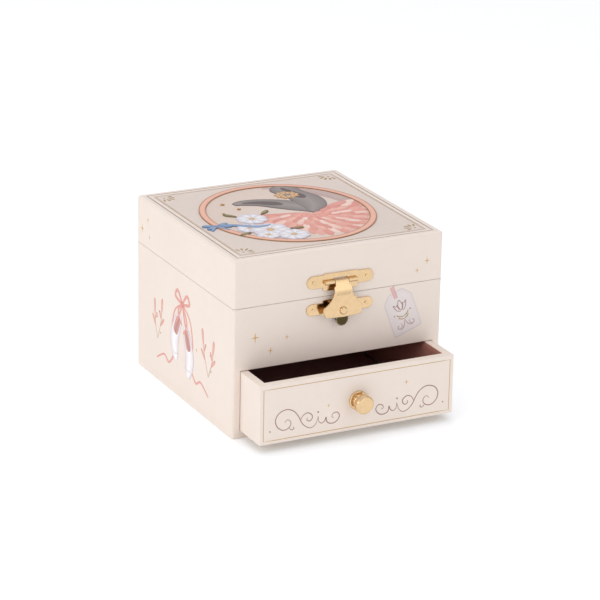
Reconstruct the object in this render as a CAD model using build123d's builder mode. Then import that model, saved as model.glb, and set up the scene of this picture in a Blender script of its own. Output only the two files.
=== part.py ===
from build123d import *
import math
import os

# Ballerina jewellery box: a paper-covered wooden cabinet with a drawer, a hinged lid with a
# brass clasp, and a spring-driven musical movement under a raised deck that turns a dancer.
# Millimetres. Origin: centre of the cabinet's underside. X to the right, Y to the back, Z up.
# Rest pose: lid shut, drawer pulled out by DRAWER_OUT, dancer folded flat under the lid.

# ---- driving dimensions ----
HALF = 57.5  # half of the cabinet's width and depth
HEIGHT = 92.0
SEAM = 67.3  # height at which the lid parts from the body
SEAM_GAP = 0.3
PAPER = 0.3
BOARD = 3.7
CORNER = 1.5  # radius of the wrapped upright edges
CORE = HALF - PAPER
INNER = CORE - BOARD
BODY_TOP = SEAM - SEAM_GAP / 2
LID_BOTTOM = SEAM + SEAM_GAP / 2
LINING = 0.4

BASE_TOP = 4.0
SHELF_BOTTOM = 35.3
SHELF_TOP = 38.2

DRAWER_OUT = 21.9
DRAWER_HALF = 53.2
DRAWER_LENGTH = 109.5
DRAWER_BOTTOM = 4.3
DRAWER_TOP = 34.9
DRAWER_WALL = 4.0
DRAWER_FRONT = -HALF - DRAWER_OUT
DRAWER_BACK = DRAWER_FRONT + DRAWER_LENGTH
KNOB_Z = 19.5

HOUSING_HALF = 32.0
HOUSING_FRONT = -13.0
HOUSING_WALL = 2.0
DECK_BOTTOM = 60.0
DECK_TOP = 62.0

HINGE_X = 36.0
HINGE_Y = 59.0
KNUCKLE_R = 1.4
HINGE_PIN_R = 0.7
LEAF = 0.6

CLASP_Y = -HALF - LEAF  # front face of the clasp's two plates
CLASP_AXIS_Y = -59.1
CLASP_AXIS_Z = 74.6
CLASP_KNUCKLE_R = 1.1
CLASP_PIN_R = 0.5
RIVET_Z = 60.3
RIVET_R = 0.9

AXIS_Z = 49.7  # height of the movement's three level arbors
BARREL_X = -12.0
GOVERNOR_X = -10.0
WORM_X = -15.2
WORM_Y = 23.0
MODULE_TRAIN = 0.5
MODULE_FINE = 0.4
BACKLASH = 0.14
PRESSURE = math.radians(20)
BEDPLATE_TOP = 39.7

SPINDLE_Y = 1.0
SPRING_FOOT = 63.4
SPRING_BEND_R = 5.0
FOLD = 70.0  # degrees from upright at which the dancer lies when the lid is shut
PIVOT_Z = SPRING_FOOT + SPRING_BEND_R * math.tan(math.radians(FOLD / 2))
SPRING_END = PIVOT_Z - SPRING_FOOT

os.makedirs("parts", exist_ok=True)

# Screw and nail places, as (x, y) on the bedplate or (x, z) on an upright face.
BED_SCREWS = [(-23.5, 6.0), (23.5, 6.0), (23.5, 50.0), (-23.5, 14.0)]
FOOT_SCREWS = [(-10.0, 7.5), (-10.0, 23.2), (-16.0, 31.5), (2.0, 31.5), (-22.3, 49.0), (-1.7, 49.0)]
COMB_SCREWS = [(20.0, 19.5), (20.0, 28.3)]
CLASP_NAILS = [(-14.6, 75.2), (14.6, 75.2)]
CATCH_NAILS = [(-14.6, 61.1), (14.6, 61.1)]
HINGE_NAIL_X = [side * HINGE_X + step for side in (-1, 1) for step in (-5.5, 5.5)]
LOWER_HINGE_NAILS = [(x, 61.5) for x in HINGE_NAIL_X]
UPPER_HINGE_NAILS = [(x, 73.1) for x in HINGE_NAIL_X]


# ---- helpers ----
def upright(y, x=0.0, z=0.0):
    """An upright sketch plane at depth y: local x is X, local y is Z, extruding towards -Y."""
    return Plane((x, y, z), x_dir=(1, 0, 0), z_dir=(0, -1, 0))


def slab(xs, ys, zs, mode=Mode.ADD):
    """A rectangular block between three pairs of limits."""
    with BuildSketch(Plane.XY.offset(zs[0])) as profile:
        with Locations(((xs[0] + xs[1]) / 2, (ys[0] + ys[1]) / 2)):
            Rectangle(xs[1] - xs[0], ys[1] - ys[0])
    extrude(profile.sketch, amount=zs[1] - zs[0], mode=mode)


def rounded_slab(half, radius, zs, mode=Mode.ADD):
    """A square block about the Z axis with rounded upright edges."""
    with BuildSketch(Plane.XY.offset(zs[0])) as profile:
        RectangleRounded(2 * half, 2 * half, radius)
    extrude(profile.sketch, amount=zs[1] - zs[0], mode=mode)


def rod_y(x, z, radius, ys, mode=Mode.ADD):
    """A round bar along Y between two depths."""
    with BuildSketch(upright(ys[1], x, z)) as profile:
        Circle(radius)
    extrude(profile.sketch, amount=ys[1] - ys[0], mode=mode)


def rod_z(x, y, radius, zs, mode=Mode.ADD):
    """A round bar along Z between two heights."""
    with BuildSketch(Plane((x, y, zs[0]))) as profile:
        Circle(radius)
    extrude(profile.sketch, amount=zs[1] - zs[0], mode=mode)


def rod_x(y, z, radius, xs, mode=Mode.ADD):
    """A round bar along X between two limits."""
    with BuildSketch(Plane((xs[0], y, z), x_dir=(0, 1, 0), z_dir=(1, 0, 0))) as profile:
        Circle(radius)
    extrude(profile.sketch, amount=xs[1] - xs[0], mode=mode)


def holes_z(places, radius, zs):
    """Round holes along Z through the part being built."""
    for x, y in places:
        rod_z(x, y, radius, zs, mode=Mode.SUBTRACT)


def holes_y(places, radius, ys):
    """Round holes along Y through the part being built."""
    for x, z in places:
        rod_y(x, z, radius, ys, mode=Mode.SUBTRACT)


def nails(places, face_y, inward):
    """Small round-headed nails standing on an upright face and running into the board."""
    for x, z in places:
        rod_y(x, z, 0.8, sorted((face_y, face_y - inward * 0.35)))
        rod_y(x, z, 0.45, sorted((face_y, face_y + inward * 3.2)))


def screws(places, seat, shank):
    """Cheese-headed screws with a slot, standing on a level face."""
    for x, y in places:
        rod_z(x, y, 1.8, (seat, seat + 1.2))
        slab((x - 1.8, x + 1.8), (y - 0.25, y + 0.25), (seat + 0.7, seat + 1.2), Mode.SUBTRACT)
        rod_z(x, y, 0.95, (seat - shank, seat))


def gear(teeth, module, x, toward, ys, tooth_on_line):
    """A spur gear on a level arbor, with stub involute teeth.

    toward is the direction of its mate in degrees; a tooth or a gap lies on that line.
    """
    pitch = teeth * module / 2
    base = pitch * math.cos(PRESSURE)
    start = math.radians(toward) + (0 if tooth_on_line else math.pi / teeth)
    full = math.pi / (2 * teeth) - BACKLASH / (2 * pitch) + math.tan(PRESSURE) - PRESSURE
    points = []
    flank = []
    for radius in (pitch - module, pitch, pitch + 0.75 * module):
        slope = math.acos(base / max(radius, base))
        flank.append((radius, full - (math.tan(slope) - slope)))
    for tooth in range(teeth):
        centre = start + 2 * math.pi * tooth / teeth
        for radius, half in flank:
            points.append((radius * math.cos(centre - half), radius * math.sin(centre - half)))
        for radius, half in reversed(flank):
            points.append((radius * math.cos(centre + half), radius * math.sin(centre + half)))
    with BuildSketch(upright(ys[1], x, AXIS_Z)) as profile:
        with BuildLine():
            Polyline(*points, close=True)
        make_face()
    extrude(profile.sketch, amount=ys[1] - ys[0])


def save(piece, name):
    """Label a finished piece and write it to its own file."""
    piece.part.label = name
    export_step(piece.part, f"parts/{name}.step")


# ---- cabinet ----
with BuildPart() as base_board:
    rounded_slab(CORE, CORNER - PAPER, (0, BASE_TOP))
save(base_board, "base_board")


def side_wall(side):
    """One upright side board, rounded on its two outer edges."""
    rounded_slab(CORE, CORNER - PAPER, (BASE_TOP, BODY_TOP))
    slab(sorted((-side * HALF, side * INNER)), (-HALF, HALF), (BASE_TOP, BODY_TOP), Mode.SUBTRACT)


with BuildPart() as left_wall:
    side_wall(-1)
save(left_wall, "left_wall")

with BuildPart() as right_wall:
    side_wall(1)
save(right_wall, "right_wall")

with BuildPart() as back_wall:
    slab((-INNER, INNER), (INNER, CORE), (BASE_TOP, BODY_TOP))
    holes_y([(BARREL_X, AXIS_Z)], 3.2, (INNER - 1, HALF))
save(back_wall, "back_wall")

with BuildPart() as front_panel:
    slab((-INNER, INNER), (-CORE, -INNER), (SHELF_BOTTOM, BODY_TOP))
save(front_panel, "front_panel")

with BuildPart() as drawer_shelf:
    slab((-INNER, INNER), (-INNER, INNER), (SHELF_BOTTOM, SHELF_TOP))
    holes_z(BED_SCREWS, 0.97, (SHELF_BOTTOM + 0.6, SHELF_TOP))
save(drawer_shelf, "drawer_shelf")

with BuildPart() as body_paper:
    rounded_slab(HALF, CORNER, (0.2, BODY_TOP))
    rounded_slab(CORE, CORNER - PAPER, (0.2, BODY_TOP), Mode.SUBTRACT)
    slab((-INNER, INNER), (-HALF - 1, -CORE + 1), (BASE_TOP, SHELF_BOTTOM), Mode.SUBTRACT)
    holes_y([(BARREL_X, AXIS_Z)], 3.2, (CORE - 1, HALF + 1))
save(body_paper, "body_paper")

# ---- upper compartment: felt lining, movement housing and deck ----
with BuildPart() as tray_lining:
    slab((-INNER, INNER), (-INNER, INNER), (SHELF_TOP, 66.8))
    inside = (-INNER + LINING, INNER - LINING)
    slab(inside, inside, (SHELF_TOP + LINING, 66.8), Mode.SUBTRACT)
    housing = HOUSING_HALF + LINING
    slab((-housing, housing), (HOUSING_FRONT - LINING, INNER), (SHELF_TOP, 66.8), Mode.SUBTRACT)
save(tray_lining, "tray_lining")

with BuildPart() as movement_walls:
    slab((-HOUSING_HALF, HOUSING_HALF), (HOUSING_FRONT, INNER), (SHELF_TOP, DECK_BOTTOM))
    chamber = HOUSING_HALF - HOUSING_WALL
    front = HOUSING_FRONT + HOUSING_WALL
    slab((-chamber, chamber), (front, INNER), (SHELF_TOP, DECK_BOTTOM), Mode.SUBTRACT)
save(movement_walls, "movement_walls")

STOP_WIRE_X = -24.0
STOP_WIRE_Y = 49.5
STOP_WIRE_R = 0.6


def deck_holes(zs):
    """Holes for the dancer's spindle and for the stop wire."""
    holes_z([(0, SPINDLE_Y)], 2.06, zs)
    holes_z([(STOP_WIRE_X, STOP_WIRE_Y)], STOP_WIRE_R + 0.08, zs)


with BuildPart() as deck:
    slab((-HOUSING_HALF, HOUSING_HALF), (HOUSING_FRONT, INNER), (DECK_BOTTOM, DECK_TOP))
    deck_holes((DECK_BOTTOM, DECK_TOP))
save(deck, "deck")

with BuildPart() as deck_lining:
    skin = HOUSING_HALF + LINING
    deck_skin_top = DECK_TOP + LINING
    slab((-skin, skin), (HOUSING_FRONT - LINING, INNER), (SHELF_TOP, deck_skin_top))
    slab((-HOUSING_HALF, HOUSING_HALF), (HOUSING_FRONT, INNER), (SHELF_TOP, DECK_TOP), Mode.SUBTRACT)
    deck_holes((DECK_TOP - 1, deck_skin_top))
save(deck_lining, "deck_lining")

# ---- lid ----
RAIL_TOP = HEIGHT - PAPER - BOARD

with BuildPart() as lid_top_board:
    rounded_slab(CORE, CORNER - PAPER, (RAIL_TOP, HEIGHT - PAPER))
    fillet(lid_top_board.faces().sort_by(Axis.Z)[-1].edges(), 1.0)
save(lid_top_board, "lid_top_board")


def cross_rail(side):
    """Front or back rail of the lid, the full width, rounded on its outer upright edges."""
    rounded_slab(CORE, CORNER - PAPER, (LID_BOTTOM, RAIL_TOP))
    slab((-HALF, HALF), sorted((-side * HALF, side * INNER)), (LID_BOTTOM, RAIL_TOP), Mode.SUBTRACT)


with BuildPart() as lid_front_rail:
    cross_rail(-1)
save(lid_front_rail, "lid_front_rail")

with BuildPart() as lid_back_rail:
    cross_rail(1)
save(lid_back_rail, "lid_back_rail")

with BuildPart() as lid_left_rail:
    slab((-CORE, -INNER), (-INNER, INNER), (LID_BOTTOM, RAIL_TOP))
save(lid_left_rail, "lid_left_rail")

with BuildPart() as lid_right_rail:
    slab((INNER, CORE), (-INNER, INNER), (LID_BOTTOM, RAIL_TOP))
save(lid_right_rail, "lid_right_rail")

with BuildPart() as lid_core:
    rounded_slab(CORE, CORNER - PAPER, (LID_BOTTOM, HEIGHT - PAPER))
    fillet(lid_core.faces().sort_by(Axis.Z)[-1].edges(), 1.0)

with BuildPart() as lid_paper:
    rounded_slab(HALF, CORNER, (LID_BOTTOM, HEIGHT))
    fillet(lid_paper.faces().sort_by(Axis.Z)[-1].edges(), 1.3)
    add(lid_core.part, mode=Mode.SUBTRACT)
save(lid_paper, "lid_paper")

with BuildPart() as lid_lining:
    slab((-INNER, INNER), (-INNER, INNER), (LID_BOTTOM + 0.3, RAIL_TOP))
    slab(inside, inside, (LID_BOTTOM + 0.3, RAIL_TOP - LINING), Mode.SUBTRACT)
save(lid_lining, "lid_lining")

MIRROR_HALF = 40.0

with BuildPart() as lid_mirror:
    slab(
        (-MIRROR_HALF, MIRROR_HALF),
        (-MIRROR_HALF, MIRROR_HALF),
        (RAIL_TOP - LINING - 1.4, RAIL_TOP - LINING),
    )
    chamfer(lid_mirror.faces().sort_by(Axis.Z)[0].edges(), 0.6)
save(lid_mirror, "lid_mirror")


# ---- lid hinges ----
def hinge_leaf(x, zs, knuckles, neck, hole_r):
    """A small butt-hinge leaf on the back face, with its rolled knuckles."""
    slab((x - 9, x + 9), (HALF, HALF + LEAF), zs)
    for start, end in knuckles:
        slab((x + start, x + end), (HALF, HALF + LEAF), neck)
        rod_x(HINGE_Y, SEAM, KNUCKLE_R, (x + start, x + end))
    rod_x(HINGE_Y, SEAM, hole_r, (x - 9, x + 9), Mode.SUBTRACT)


with BuildPart() as body_hinge_leaves:
    for side in (-1, 1):
        hinge_leaf(side * HINGE_X, (57.8, 65.7), ((-9, -4), (4, 9)), (65.7, SEAM), 0.72)
    holes_y(LOWER_HINGE_NAILS, 0.48, (HALF, HALF + LEAF))
save(body_hinge_leaves, "body_hinge_leaves")

with BuildPart() as lid_hinge_leaves:
    for side in (-1, 1):
        hinge_leaf(side * HINGE_X, (68.9, 76.8), ((-3.85, 3.85),), (SEAM, 68.9), 0.77)
    holes_y(UPPER_HINGE_NAILS, 0.48, (HALF, HALF + LEAF))
save(lid_hinge_leaves, "lid_hinge_leaves")

with BuildPart() as hinge_pins:
    for side in (-1, 1):
        rod_x(HINGE_Y, SEAM, HINGE_PIN_R, (side * HINGE_X - 9.1, side * HINGE_X + 9.1))
save(hinge_pins, "hinge_pins")


# ---- clasp ----
def clasp_plate(centre_z, ear_half, low, high):
    """A pressed clasp plate: a broad middle with a rounded ear at each end."""
    with BuildSketch(upright(-HALF)) as profile:
        with Locations((0, centre_z)):
            SlotOverall(36.4, 2 * ear_half)
        with Locations((0, (low + high) / 2)):
            RectangleRounded(18.8, high - low, 0.9)
    extrude(profile.sketch, amount=LEAF)


with BuildPart() as hasp_plate:
    clasp_plate(75.2, 3.2, 70.2, 78.9)
    slab((-3.8, 3.8), (CLASP_Y, -HALF), (73.4, 76.3), Mode.SUBTRACT)
    holes_y(CLASP_NAILS, 0.48, (CLASP_Y, -HALF))
    for limits in ((-8.9, -3.9), (3.9, 8.9)):
        rod_x(CLASP_AXIS_Y, CLASP_AXIS_Z, CLASP_KNUCKLE_R, limits)
    rod_x(CLASP_AXIS_Y, CLASP_AXIS_Z, 0.52, (-9, 9), Mode.SUBTRACT)
save(hasp_plate, "hasp_plate")

with BuildPart() as hasp_pin:
    rod_x(CLASP_AXIS_Y, CLASP_AXIS_Z, CLASP_PIN_R, (-9.1, 9.1))
save(hasp_pin, "hasp_pin")

FLAP_OUT = -62.0  # front face of the flap's flat lower part
FLAP = 0.7

with BuildPart() as hasp_flap:
    # Side view of the bent sheet, from the knuckle down and out to the flat part.
    with BuildSketch(Plane.YZ.offset(-11)):
        with BuildLine():
            Polyline(
                (-59.9, 75.3),
                (-60.9, 73.2),
                (FLAP_OUT, 70.6),
                (FLAP_OUT, 56.9),
                (FLAP_OUT + FLAP, 56.9),
                (FLAP_OUT + FLAP, 70.8),
                (-60.25, 73.3),
                (-59.5, 74.6),
                close=True,
            )
        make_face()
    extrude(amount=22)
    # Front view: a narrow neck flaring by hollow curves to a broad foot with cut corners.
    with BuildSketch(upright(-58.5)):
        with BuildLine():
            Polyline((0, 76), (-3.7, 76), (-3.7, 73.2), (-4.7, 72.4), (-4.8, 70.6))
            ThreePointArc((-4.8, 70.6), (-6.6, 65.9), (-10.7, 62.4))
            Polyline((-10.7, 62.4), (-10.9, 60.6), (-9.4, 57.4), (0, 56.9))
            mirror(about=Plane.YZ)
        make_face()
    extrude(amount=5, mode=Mode.INTERSECT)
    rod_x(CLASP_AXIS_Y, CLASP_AXIS_Z, CLASP_KNUCKLE_R, (-3.7, 3.7))
    rod_x(CLASP_AXIS_Y, CLASP_AXIS_Z, 0.56, (-4, 4), Mode.SUBTRACT)
    holes_y([(0, RIVET_Z)], RIVET_R + 0.02, (FLAP_OUT - 1, FLAP_OUT + FLAP + 0.2))
save(hasp_flap, "hasp_flap")

with BuildPart() as hasp_rivet:
    rod_y(0, RIVET_Z, RIVET_R, (FLAP_OUT - 0.3, -59.7))
    rod_y(0, RIVET_Z, 1.5, (-60.0, -59.6))
    rod_y(0, RIVET_Z, 2.0, (FLAP_OUT - 1.0, FLAP_OUT))
    fillet(hasp_rivet.faces().sort_by(Axis.Y)[0].edges(), 0.7)
save(hasp_rivet, "hasp_rivet")

TAB_BACK = -60.2
TAB = 0.8
TAB_DISC_Z = 55.4

with BuildPart() as thumb_tab:
    with BuildSketch(upright(TAB_BACK)):
        with Locations((0, RIVET_Z)):
            Circle(2.2)
        with Locations((0, (RIVET_Z + TAB_DISC_Z) / 2)):
            Rectangle(3.0, RIVET_Z - TAB_DISC_Z)
        with Locations((0, RIVET_Z + 2.4)):
            SlotOverall(4.8, 2.2, rotation=90)
    extrude(amount=TAB)
    with BuildSketch(upright(TAB_BACK + 0.6)):
        with Locations((0, TAB_DISC_Z)):
            Circle(3.05)
            with PolarLocations(3.05, 18):
                Circle(0.25)
    extrude(amount=TAB + 0.6)
    holes_y([(0, RIVET_Z)], RIVET_R + 0.06, (-62, -59))
save(thumb_tab, "thumb_tab")

with BuildPart() as catch_plate:
    clasp_plate(61.1, 2.9, 57.2, 65.4)
    holes_y(CATCH_NAILS, 0.48, (CLASP_Y, -HALF))
    for limits in ((-6.2, -3.75), (3.75, 6.2)):
        slab(limits, (-60.9, CLASP_Y), (64.2, 64.9))
save(catch_plate, "catch_plate")

with BuildPart() as cabinet_nails:
    nails(CATCH_NAILS, CLASP_Y, 1)
    nails(LOWER_HINGE_NAILS, HALF + LEAF, -1)
save(cabinet_nails, "cabinet_nails")

with BuildPart() as lid_nails:
    nails(CLASP_NAILS, CLASP_Y, 1)
    nails(UPPER_HINGE_NAILS, HALF + LEAF, -1)
save(lid_nails, "lid_nails")

# ---- drawer ----
BOARD_X = DRAWER_HALF - PAPER
BOARD_FRONT = DRAWER_FRONT + PAPER
BOARD_BACK = DRAWER_BACK - PAPER
BOARD_TOP = DRAWER_TOP - PAPER
WELL_X = DRAWER_HALF - DRAWER_WALL
WELL_FRONT = DRAWER_FRONT + DRAWER_WALL
WELL_BACK = DRAWER_BACK - DRAWER_WALL
WELL_FLOOR = 6.8

with BuildPart() as drawer_front:
    slab((-BOARD_X, BOARD_X), (BOARD_FRONT, WELL_FRONT), (DRAWER_BOTTOM, BOARD_TOP))
    holes_y([(0, KNOB_Z)], 1.5, (DRAWER_FRONT, WELL_FRONT + 1))
save(drawer_front, "drawer_front")

with BuildPart() as drawer_back:
    slab((-BOARD_X, BOARD_X), (WELL_BACK, BOARD_BACK), (DRAWER_BOTTOM, BOARD_TOP))
save(drawer_back, "drawer_back")

with BuildPart() as drawer_left_side:
    slab((-BOARD_X, -WELL_X), (WELL_FRONT, WELL_BACK), (DRAWER_BOTTOM, BOARD_TOP))
save(drawer_left_side, "drawer_left_side")

with BuildPart() as drawer_right_side:
    slab((WELL_X, BOARD_X), (WELL_FRONT, WELL_BACK), (DRAWER_BOTTOM, BOARD_TOP))
save(drawer_right_side, "drawer_right_side")

with BuildPart() as drawer_bottom:
    slab((-WELL_X, WELL_X), (WELL_FRONT, WELL_BACK), (DRAWER_BOTTOM, WELL_FLOOR))
save(drawer_bottom, "drawer_bottom")

with BuildPart() as drawer_paper:
    slab((-DRAWER_HALF, DRAWER_HALF), (DRAWER_FRONT, DRAWER_BACK), (DRAWER_BOTTOM, DRAWER_TOP))
    slab((-BOARD_X, BOARD_X), (BOARD_FRONT, BOARD_BACK), (DRAWER_BOTTOM, BOARD_TOP), Mode.SUBTRACT)
    slab((-WELL_X, WELL_X), (WELL_FRONT, WELL_BACK), (BOARD_TOP, DRAWER_TOP), Mode.SUBTRACT)
    holes_y([(0, KNOB_Z)], 1.5, (DRAWER_FRONT, BOARD_FRONT))
save(drawer_paper, "drawer_paper")

with BuildPart() as drawer_lining:
    skin = 0.3
    slab((-WELL_X, WELL_X), (WELL_FRONT, WELL_BACK), (WELL_FLOOR, BOARD_TOP))
    well = (WELL_FRONT + skin, WELL_BACK - skin)
    slab((-WELL_X + skin, WELL_X - skin), well, (WELL_FLOOR + skin, BOARD_TOP), Mode.SUBTRACT)
    holes_y([(0, KNOB_Z)], 1.5, (WELL_FRONT, WELL_FRONT + skin))
save(drawer_lining, "drawer_lining")

with BuildPart() as knob:
    # Half profile of the turned knob: radius across, distance out from the drawer front up.
    with BuildSketch(Plane((0, DRAWER_FRONT, KNOB_Z), x_dir=(1, 0, 0), z_dir=(0, 0, 1))):
        with BuildLine():
            Polyline((0, 0), (5.0, 0), (5.0, -0.7), (4.5, -1.2), (3.2, -1.3))
            ThreePointArc((3.2, -1.3), (2.3, -2.6), (3.1, -4.1))
            Polyline((3.1, -4.1), (4.5, -4.6), (4.85, -5.1), (4.85, -7.2), (4.1, -8.0), (0, -8.0), (0, 0))
        make_face()
    revolve(axis=Axis((0, DRAWER_FRONT, KNOB_Z), (0, 1, 0)))
    rod_y(0, KNOB_Z, 1.5, (DRAWER_FRONT - 5.2, DRAWER_FRONT), Mode.SUBTRACT)
save(knob, "knob")

with BuildPart() as knob_screw:
    rod_y(0, KNOB_Z, 2.9, (WELL_FRONT + 0.3, WELL_FRONT + 1.8))
    fillet(knob_screw.faces().sort_by(Axis.Y)[-1].edges(), 0.6)
    rod_y(0, KNOB_Z, 1.45, (DRAWER_FRONT - 5.0, WELL_FRONT + 0.3))
    slab((-2.9, 2.9), (WELL_FRONT + 1.2, WELL_FRONT + 1.9), (KNOB_Z - 0.35, KNOB_Z + 0.35), Mode.SUBTRACT)
save(knob_screw, "knob_screw")

# ---- movement: fixed frame ----
with BuildPart() as bedplate:
    slab((-27, 27), (3, 53), (SHELF_TOP, BEDPLATE_TOP))
    slab((-6, 6), (-3, 3), (SHELF_TOP, BEDPLATE_TOP))
    holes_z([(0, SPINDLE_Y)], 1.06, (SHELF_TOP, BEDPLATE_TOP))
    holes_z(BED_SCREWS + FOOT_SCREWS, 0.97, (SHELF_TOP, BEDPLATE_TOP))
save(bedplate, "bedplate")

FOOT_TOP = BEDPLATE_TOP + 1.2

with BuildPart() as front_bracket:
    slab((-14, 4), (10.4, 11.9), (BEDPLATE_TOP, 51.4))
    slab((-14, 4), (4.6, 10.4), (BEDPLATE_TOP, FOOT_TOP))
    holes_y([(0, AXIS_Z)], 1.05, (10, 12))
    holes_y([(GOVERNOR_X, AXIS_Z)], 0.65, (10, 12))
    holes_z(FOOT_SCREWS[:1], 0.97, (BEDPLATE_TOP, FOOT_TOP))
save(front_bracket, "front_bracket")

with BuildPart() as governor_bracket:
    slab((-22.5, -7), (20.5, 27.2), (BEDPLATE_TOP, FOOT_TOP))
    slab((-22.5, -21.3), (21, 25), (BEDPLATE_TOP, 54.2))
    for level in (43.0, 53.2):
        slab((-21.3, -13.8), (21.4, 24.6), (level, level + 1.0))
    slab((-13, -7), (26, 27.2), (BEDPLATE_TOP, 52.0))
    holes_z([(WORM_X, WORM_Y)], 0.65, (42.5, 55))
    holes_y([(GOVERNOR_X, AXIS_Z)], 0.65, (25, 28))
    holes_z(FOOT_SCREWS[1:2], 0.97, (BEDPLATE_TOP, FOOT_TOP))
save(governor_bracket, "governor_bracket")

with BuildPart() as barrel_bracket:
    slab((-24, 6), (34.4, 35.9), (BEDPLATE_TOP, 55.6))
    slab((-24, 6), (51.9, 53.4), (BEDPLATE_TOP, 55.6))
    slab((-24, 6), (29.4, 53.4), (BEDPLATE_TOP, FOOT_TOP))
    slab((-20.6, -3.4), (35.9, 51.9), (BEDPLATE_TOP, FOOT_TOP), Mode.SUBTRACT)
    holes_y([(BARREL_X, AXIS_Z)], 1.26, (34, 36))
    holes_y([(BARREL_X, AXIS_Z)], 1.66, (51.5, 54))
    holes_y([(0, AXIS_Z)], 1.05, (34, 36))
    holes_z(FOOT_SCREWS[2:], 0.97, (BEDPLATE_TOP, FOOT_TOP))
save(barrel_bracket, "barrel_bracket")

COMB_NOTES = 18
COMB_PITCH = 1.0
COMB_FRONT = 15.0
COMB_TIP = 5.7
COMB_HEEL = 14.0
comb_ys = (COMB_FRONT, COMB_FRONT + COMB_NOTES * COMB_PITCH)

with BuildPart() as comb_block:
    slab((COMB_HEEL, 26), comb_ys, (BEDPLATE_TOP, AXIS_Z - 0.25))
    holes_z(COMB_SCREWS, 0.97, (44.5, AXIS_Z))
save(comb_block, "comb_block")

with BuildPart() as comb:
    slab((COMB_HEEL - 0.5, 26), comb_ys, (AXIS_Z - 0.25, AXIS_Z + 2.0))
    for note in range(COMB_NOTES):
        y = COMB_FRONT + (note + 0.5) * COMB_PITCH
        slab((COMB_TIP, COMB_HEEL), (y - 0.38, y + 0.38), (AXIS_Z - 0.25, AXIS_Z + 0.25))
    holes_z(COMB_SCREWS, 0.97, (AXIS_Z - 1, AXIS_Z + 3))
save(comb, "comb")

with BuildPart() as movement_screws:
    screws(BED_SCREWS, BEDPLATE_TOP, 3.7)
    screws(FOOT_SCREWS, FOOT_TOP, 2.6)
    screws(COMB_SCREWS, AXIS_Z + 2.0, 7.0)
save(movement_screws, "movement_screws")

# ---- movement: spring barrel and winding arbor ----
DRUM_R = 8.4

with BuildPart() as barrel_drum:
    gear(36, MODULE_TRAIN, BARREL_X, 0, (38, 40), True)
    rod_y(BARREL_X, AXIS_Z, DRUM_R, (40, 51))
    rod_y(BARREL_X, AXIS_Z, DRUM_R - 1.0, (40, 51), Mode.SUBTRACT)
    rod_y(BARREL_X, AXIS_Z, 2.06, (37, 41), Mode.SUBTRACT)
save(barrel_drum, "barrel_drum")

with BuildPart() as barrel_cap:
    rod_y(BARREL_X, AXIS_Z, DRUM_R - 1.02, (50, 51))
    rod_y(BARREL_X, AXIS_Z, 2.06, (49, 52), Mode.SUBTRACT)
save(barrel_cap, "barrel_cap")

SPIRAL_TURNS = 6
SPIRAL_IN = 2.7
SPIRAL_OUT = 7.1


def spiral_edge(shift):
    """Points of one edge of the coiled mainspring ribbon."""
    count = SPIRAL_TURNS * 12
    points = []
    for step in range(count + 1):
        angle = 2 * math.pi * SPIRAL_TURNS * step / count
        radius = SPIRAL_IN + (SPIRAL_OUT - SPIRAL_IN) * step / count + shift
        points.append((radius * math.cos(angle), radius * math.sin(angle)))
    return points


with BuildPart() as mainspring:
    with BuildSketch(upright(49.6, BARREL_X, AXIS_Z)):
        with BuildLine():
            inner_edge = Spline(*spiral_edge(0))
            outer_edge = Spline(*spiral_edge(0.25))
            Line(inner_edge @ 0, outer_edge @ 0)
            Line(inner_edge @ 1, outer_edge @ 1)
        make_face()
    extrude(amount=9.2)
save(mainspring, "mainspring")

with BuildPart() as winding_arbor:
    rod_y(BARREL_X, AXIS_Z, 1.2, (34.0, 37.0))
    rod_y(BARREL_X, AXIS_Z, 2.0, (37.0, 51.4))
    rod_y(BARREL_X, AXIS_Z, 1.6, (51.4, 58.4))
    slab((BARREL_X - 1.1, BARREL_X + 1.1), (58.4, 66.0), (AXIS_Z - 1.1, AXIS_Z + 1.1))
save(winding_arbor, "winding_arbor")

with BuildPart() as winding_key:
    rod_y(BARREL_X, AXIS_Z, 2.5, (58.6, 67.5))
    slab((BARREL_X - 1.12, BARREL_X + 1.12), (58.4, 66.2), (AXIS_Z - 1.12, AXIS_Z + 1.12), Mode.SUBTRACT)
    # Butterfly bow, seen from above: two rounded wings joined by a narrow waist.
    with BuildSketch(Plane.XY.offset(AXIS_Z - 0.8)):
        with Locations((BARREL_X - 6.3, 71.5), (BARREL_X + 6.3, 71.5)):
            Ellipse(5.4, 4.6)
        with Locations((BARREL_X, 69.8)):
            Rectangle(8.0, 5.6)
    extrude(amount=1.6)
    fillet(winding_key.faces().filter_by(Axis.Z).edges().group_by(Axis.Y)[-1], 0.4)
save(winding_key, "winding_key")

# ---- movement: pinned cylinder, governor and fly ----
CYLINDER_R = 5.0
PIN_R = 0.22

with BuildPart() as pin_cylinder:
    rod_y(0, AXIS_Z, CYLINDER_R, (14.6, 33.4))
    for note in range(COMB_NOTES):
        y = COMB_FRONT + (note + 0.5) * COMB_PITCH
        for beat in range(3):
            # Short pins spread round the cylinder in an uneven, tune-like order.
            angle = math.radians(47 * note + 120 * beat + 23 * ((note * beat) % 5) + 20)
            across = (math.cos(angle), 0, math.sin(angle))
            foot = (4.6 * across[0], y, AXIS_Z + 4.6 * across[2])
            with BuildSketch(Plane(foot, x_dir=(0, 1, 0), z_dir=across)):
                Circle(PIN_R)
            extrude(amount=0.9)
    rod_y(0, AXIS_Z, 1.0, (8.0, 14.6))
    rod_y(0, AXIS_Z, 1.0, (33.4, 40.8))
    gear(12, MODULE_TRAIN, 0, 180, (37.5, 40.5), False)
    gear(40, MODULE_FINE, 0, 180, (12.5, 14.0), True)
    gear(10, MODULE_TRAIN, 0, 90, (8.2, 9.8), True)
save(pin_cylinder, "pin_cylinder")

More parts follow.
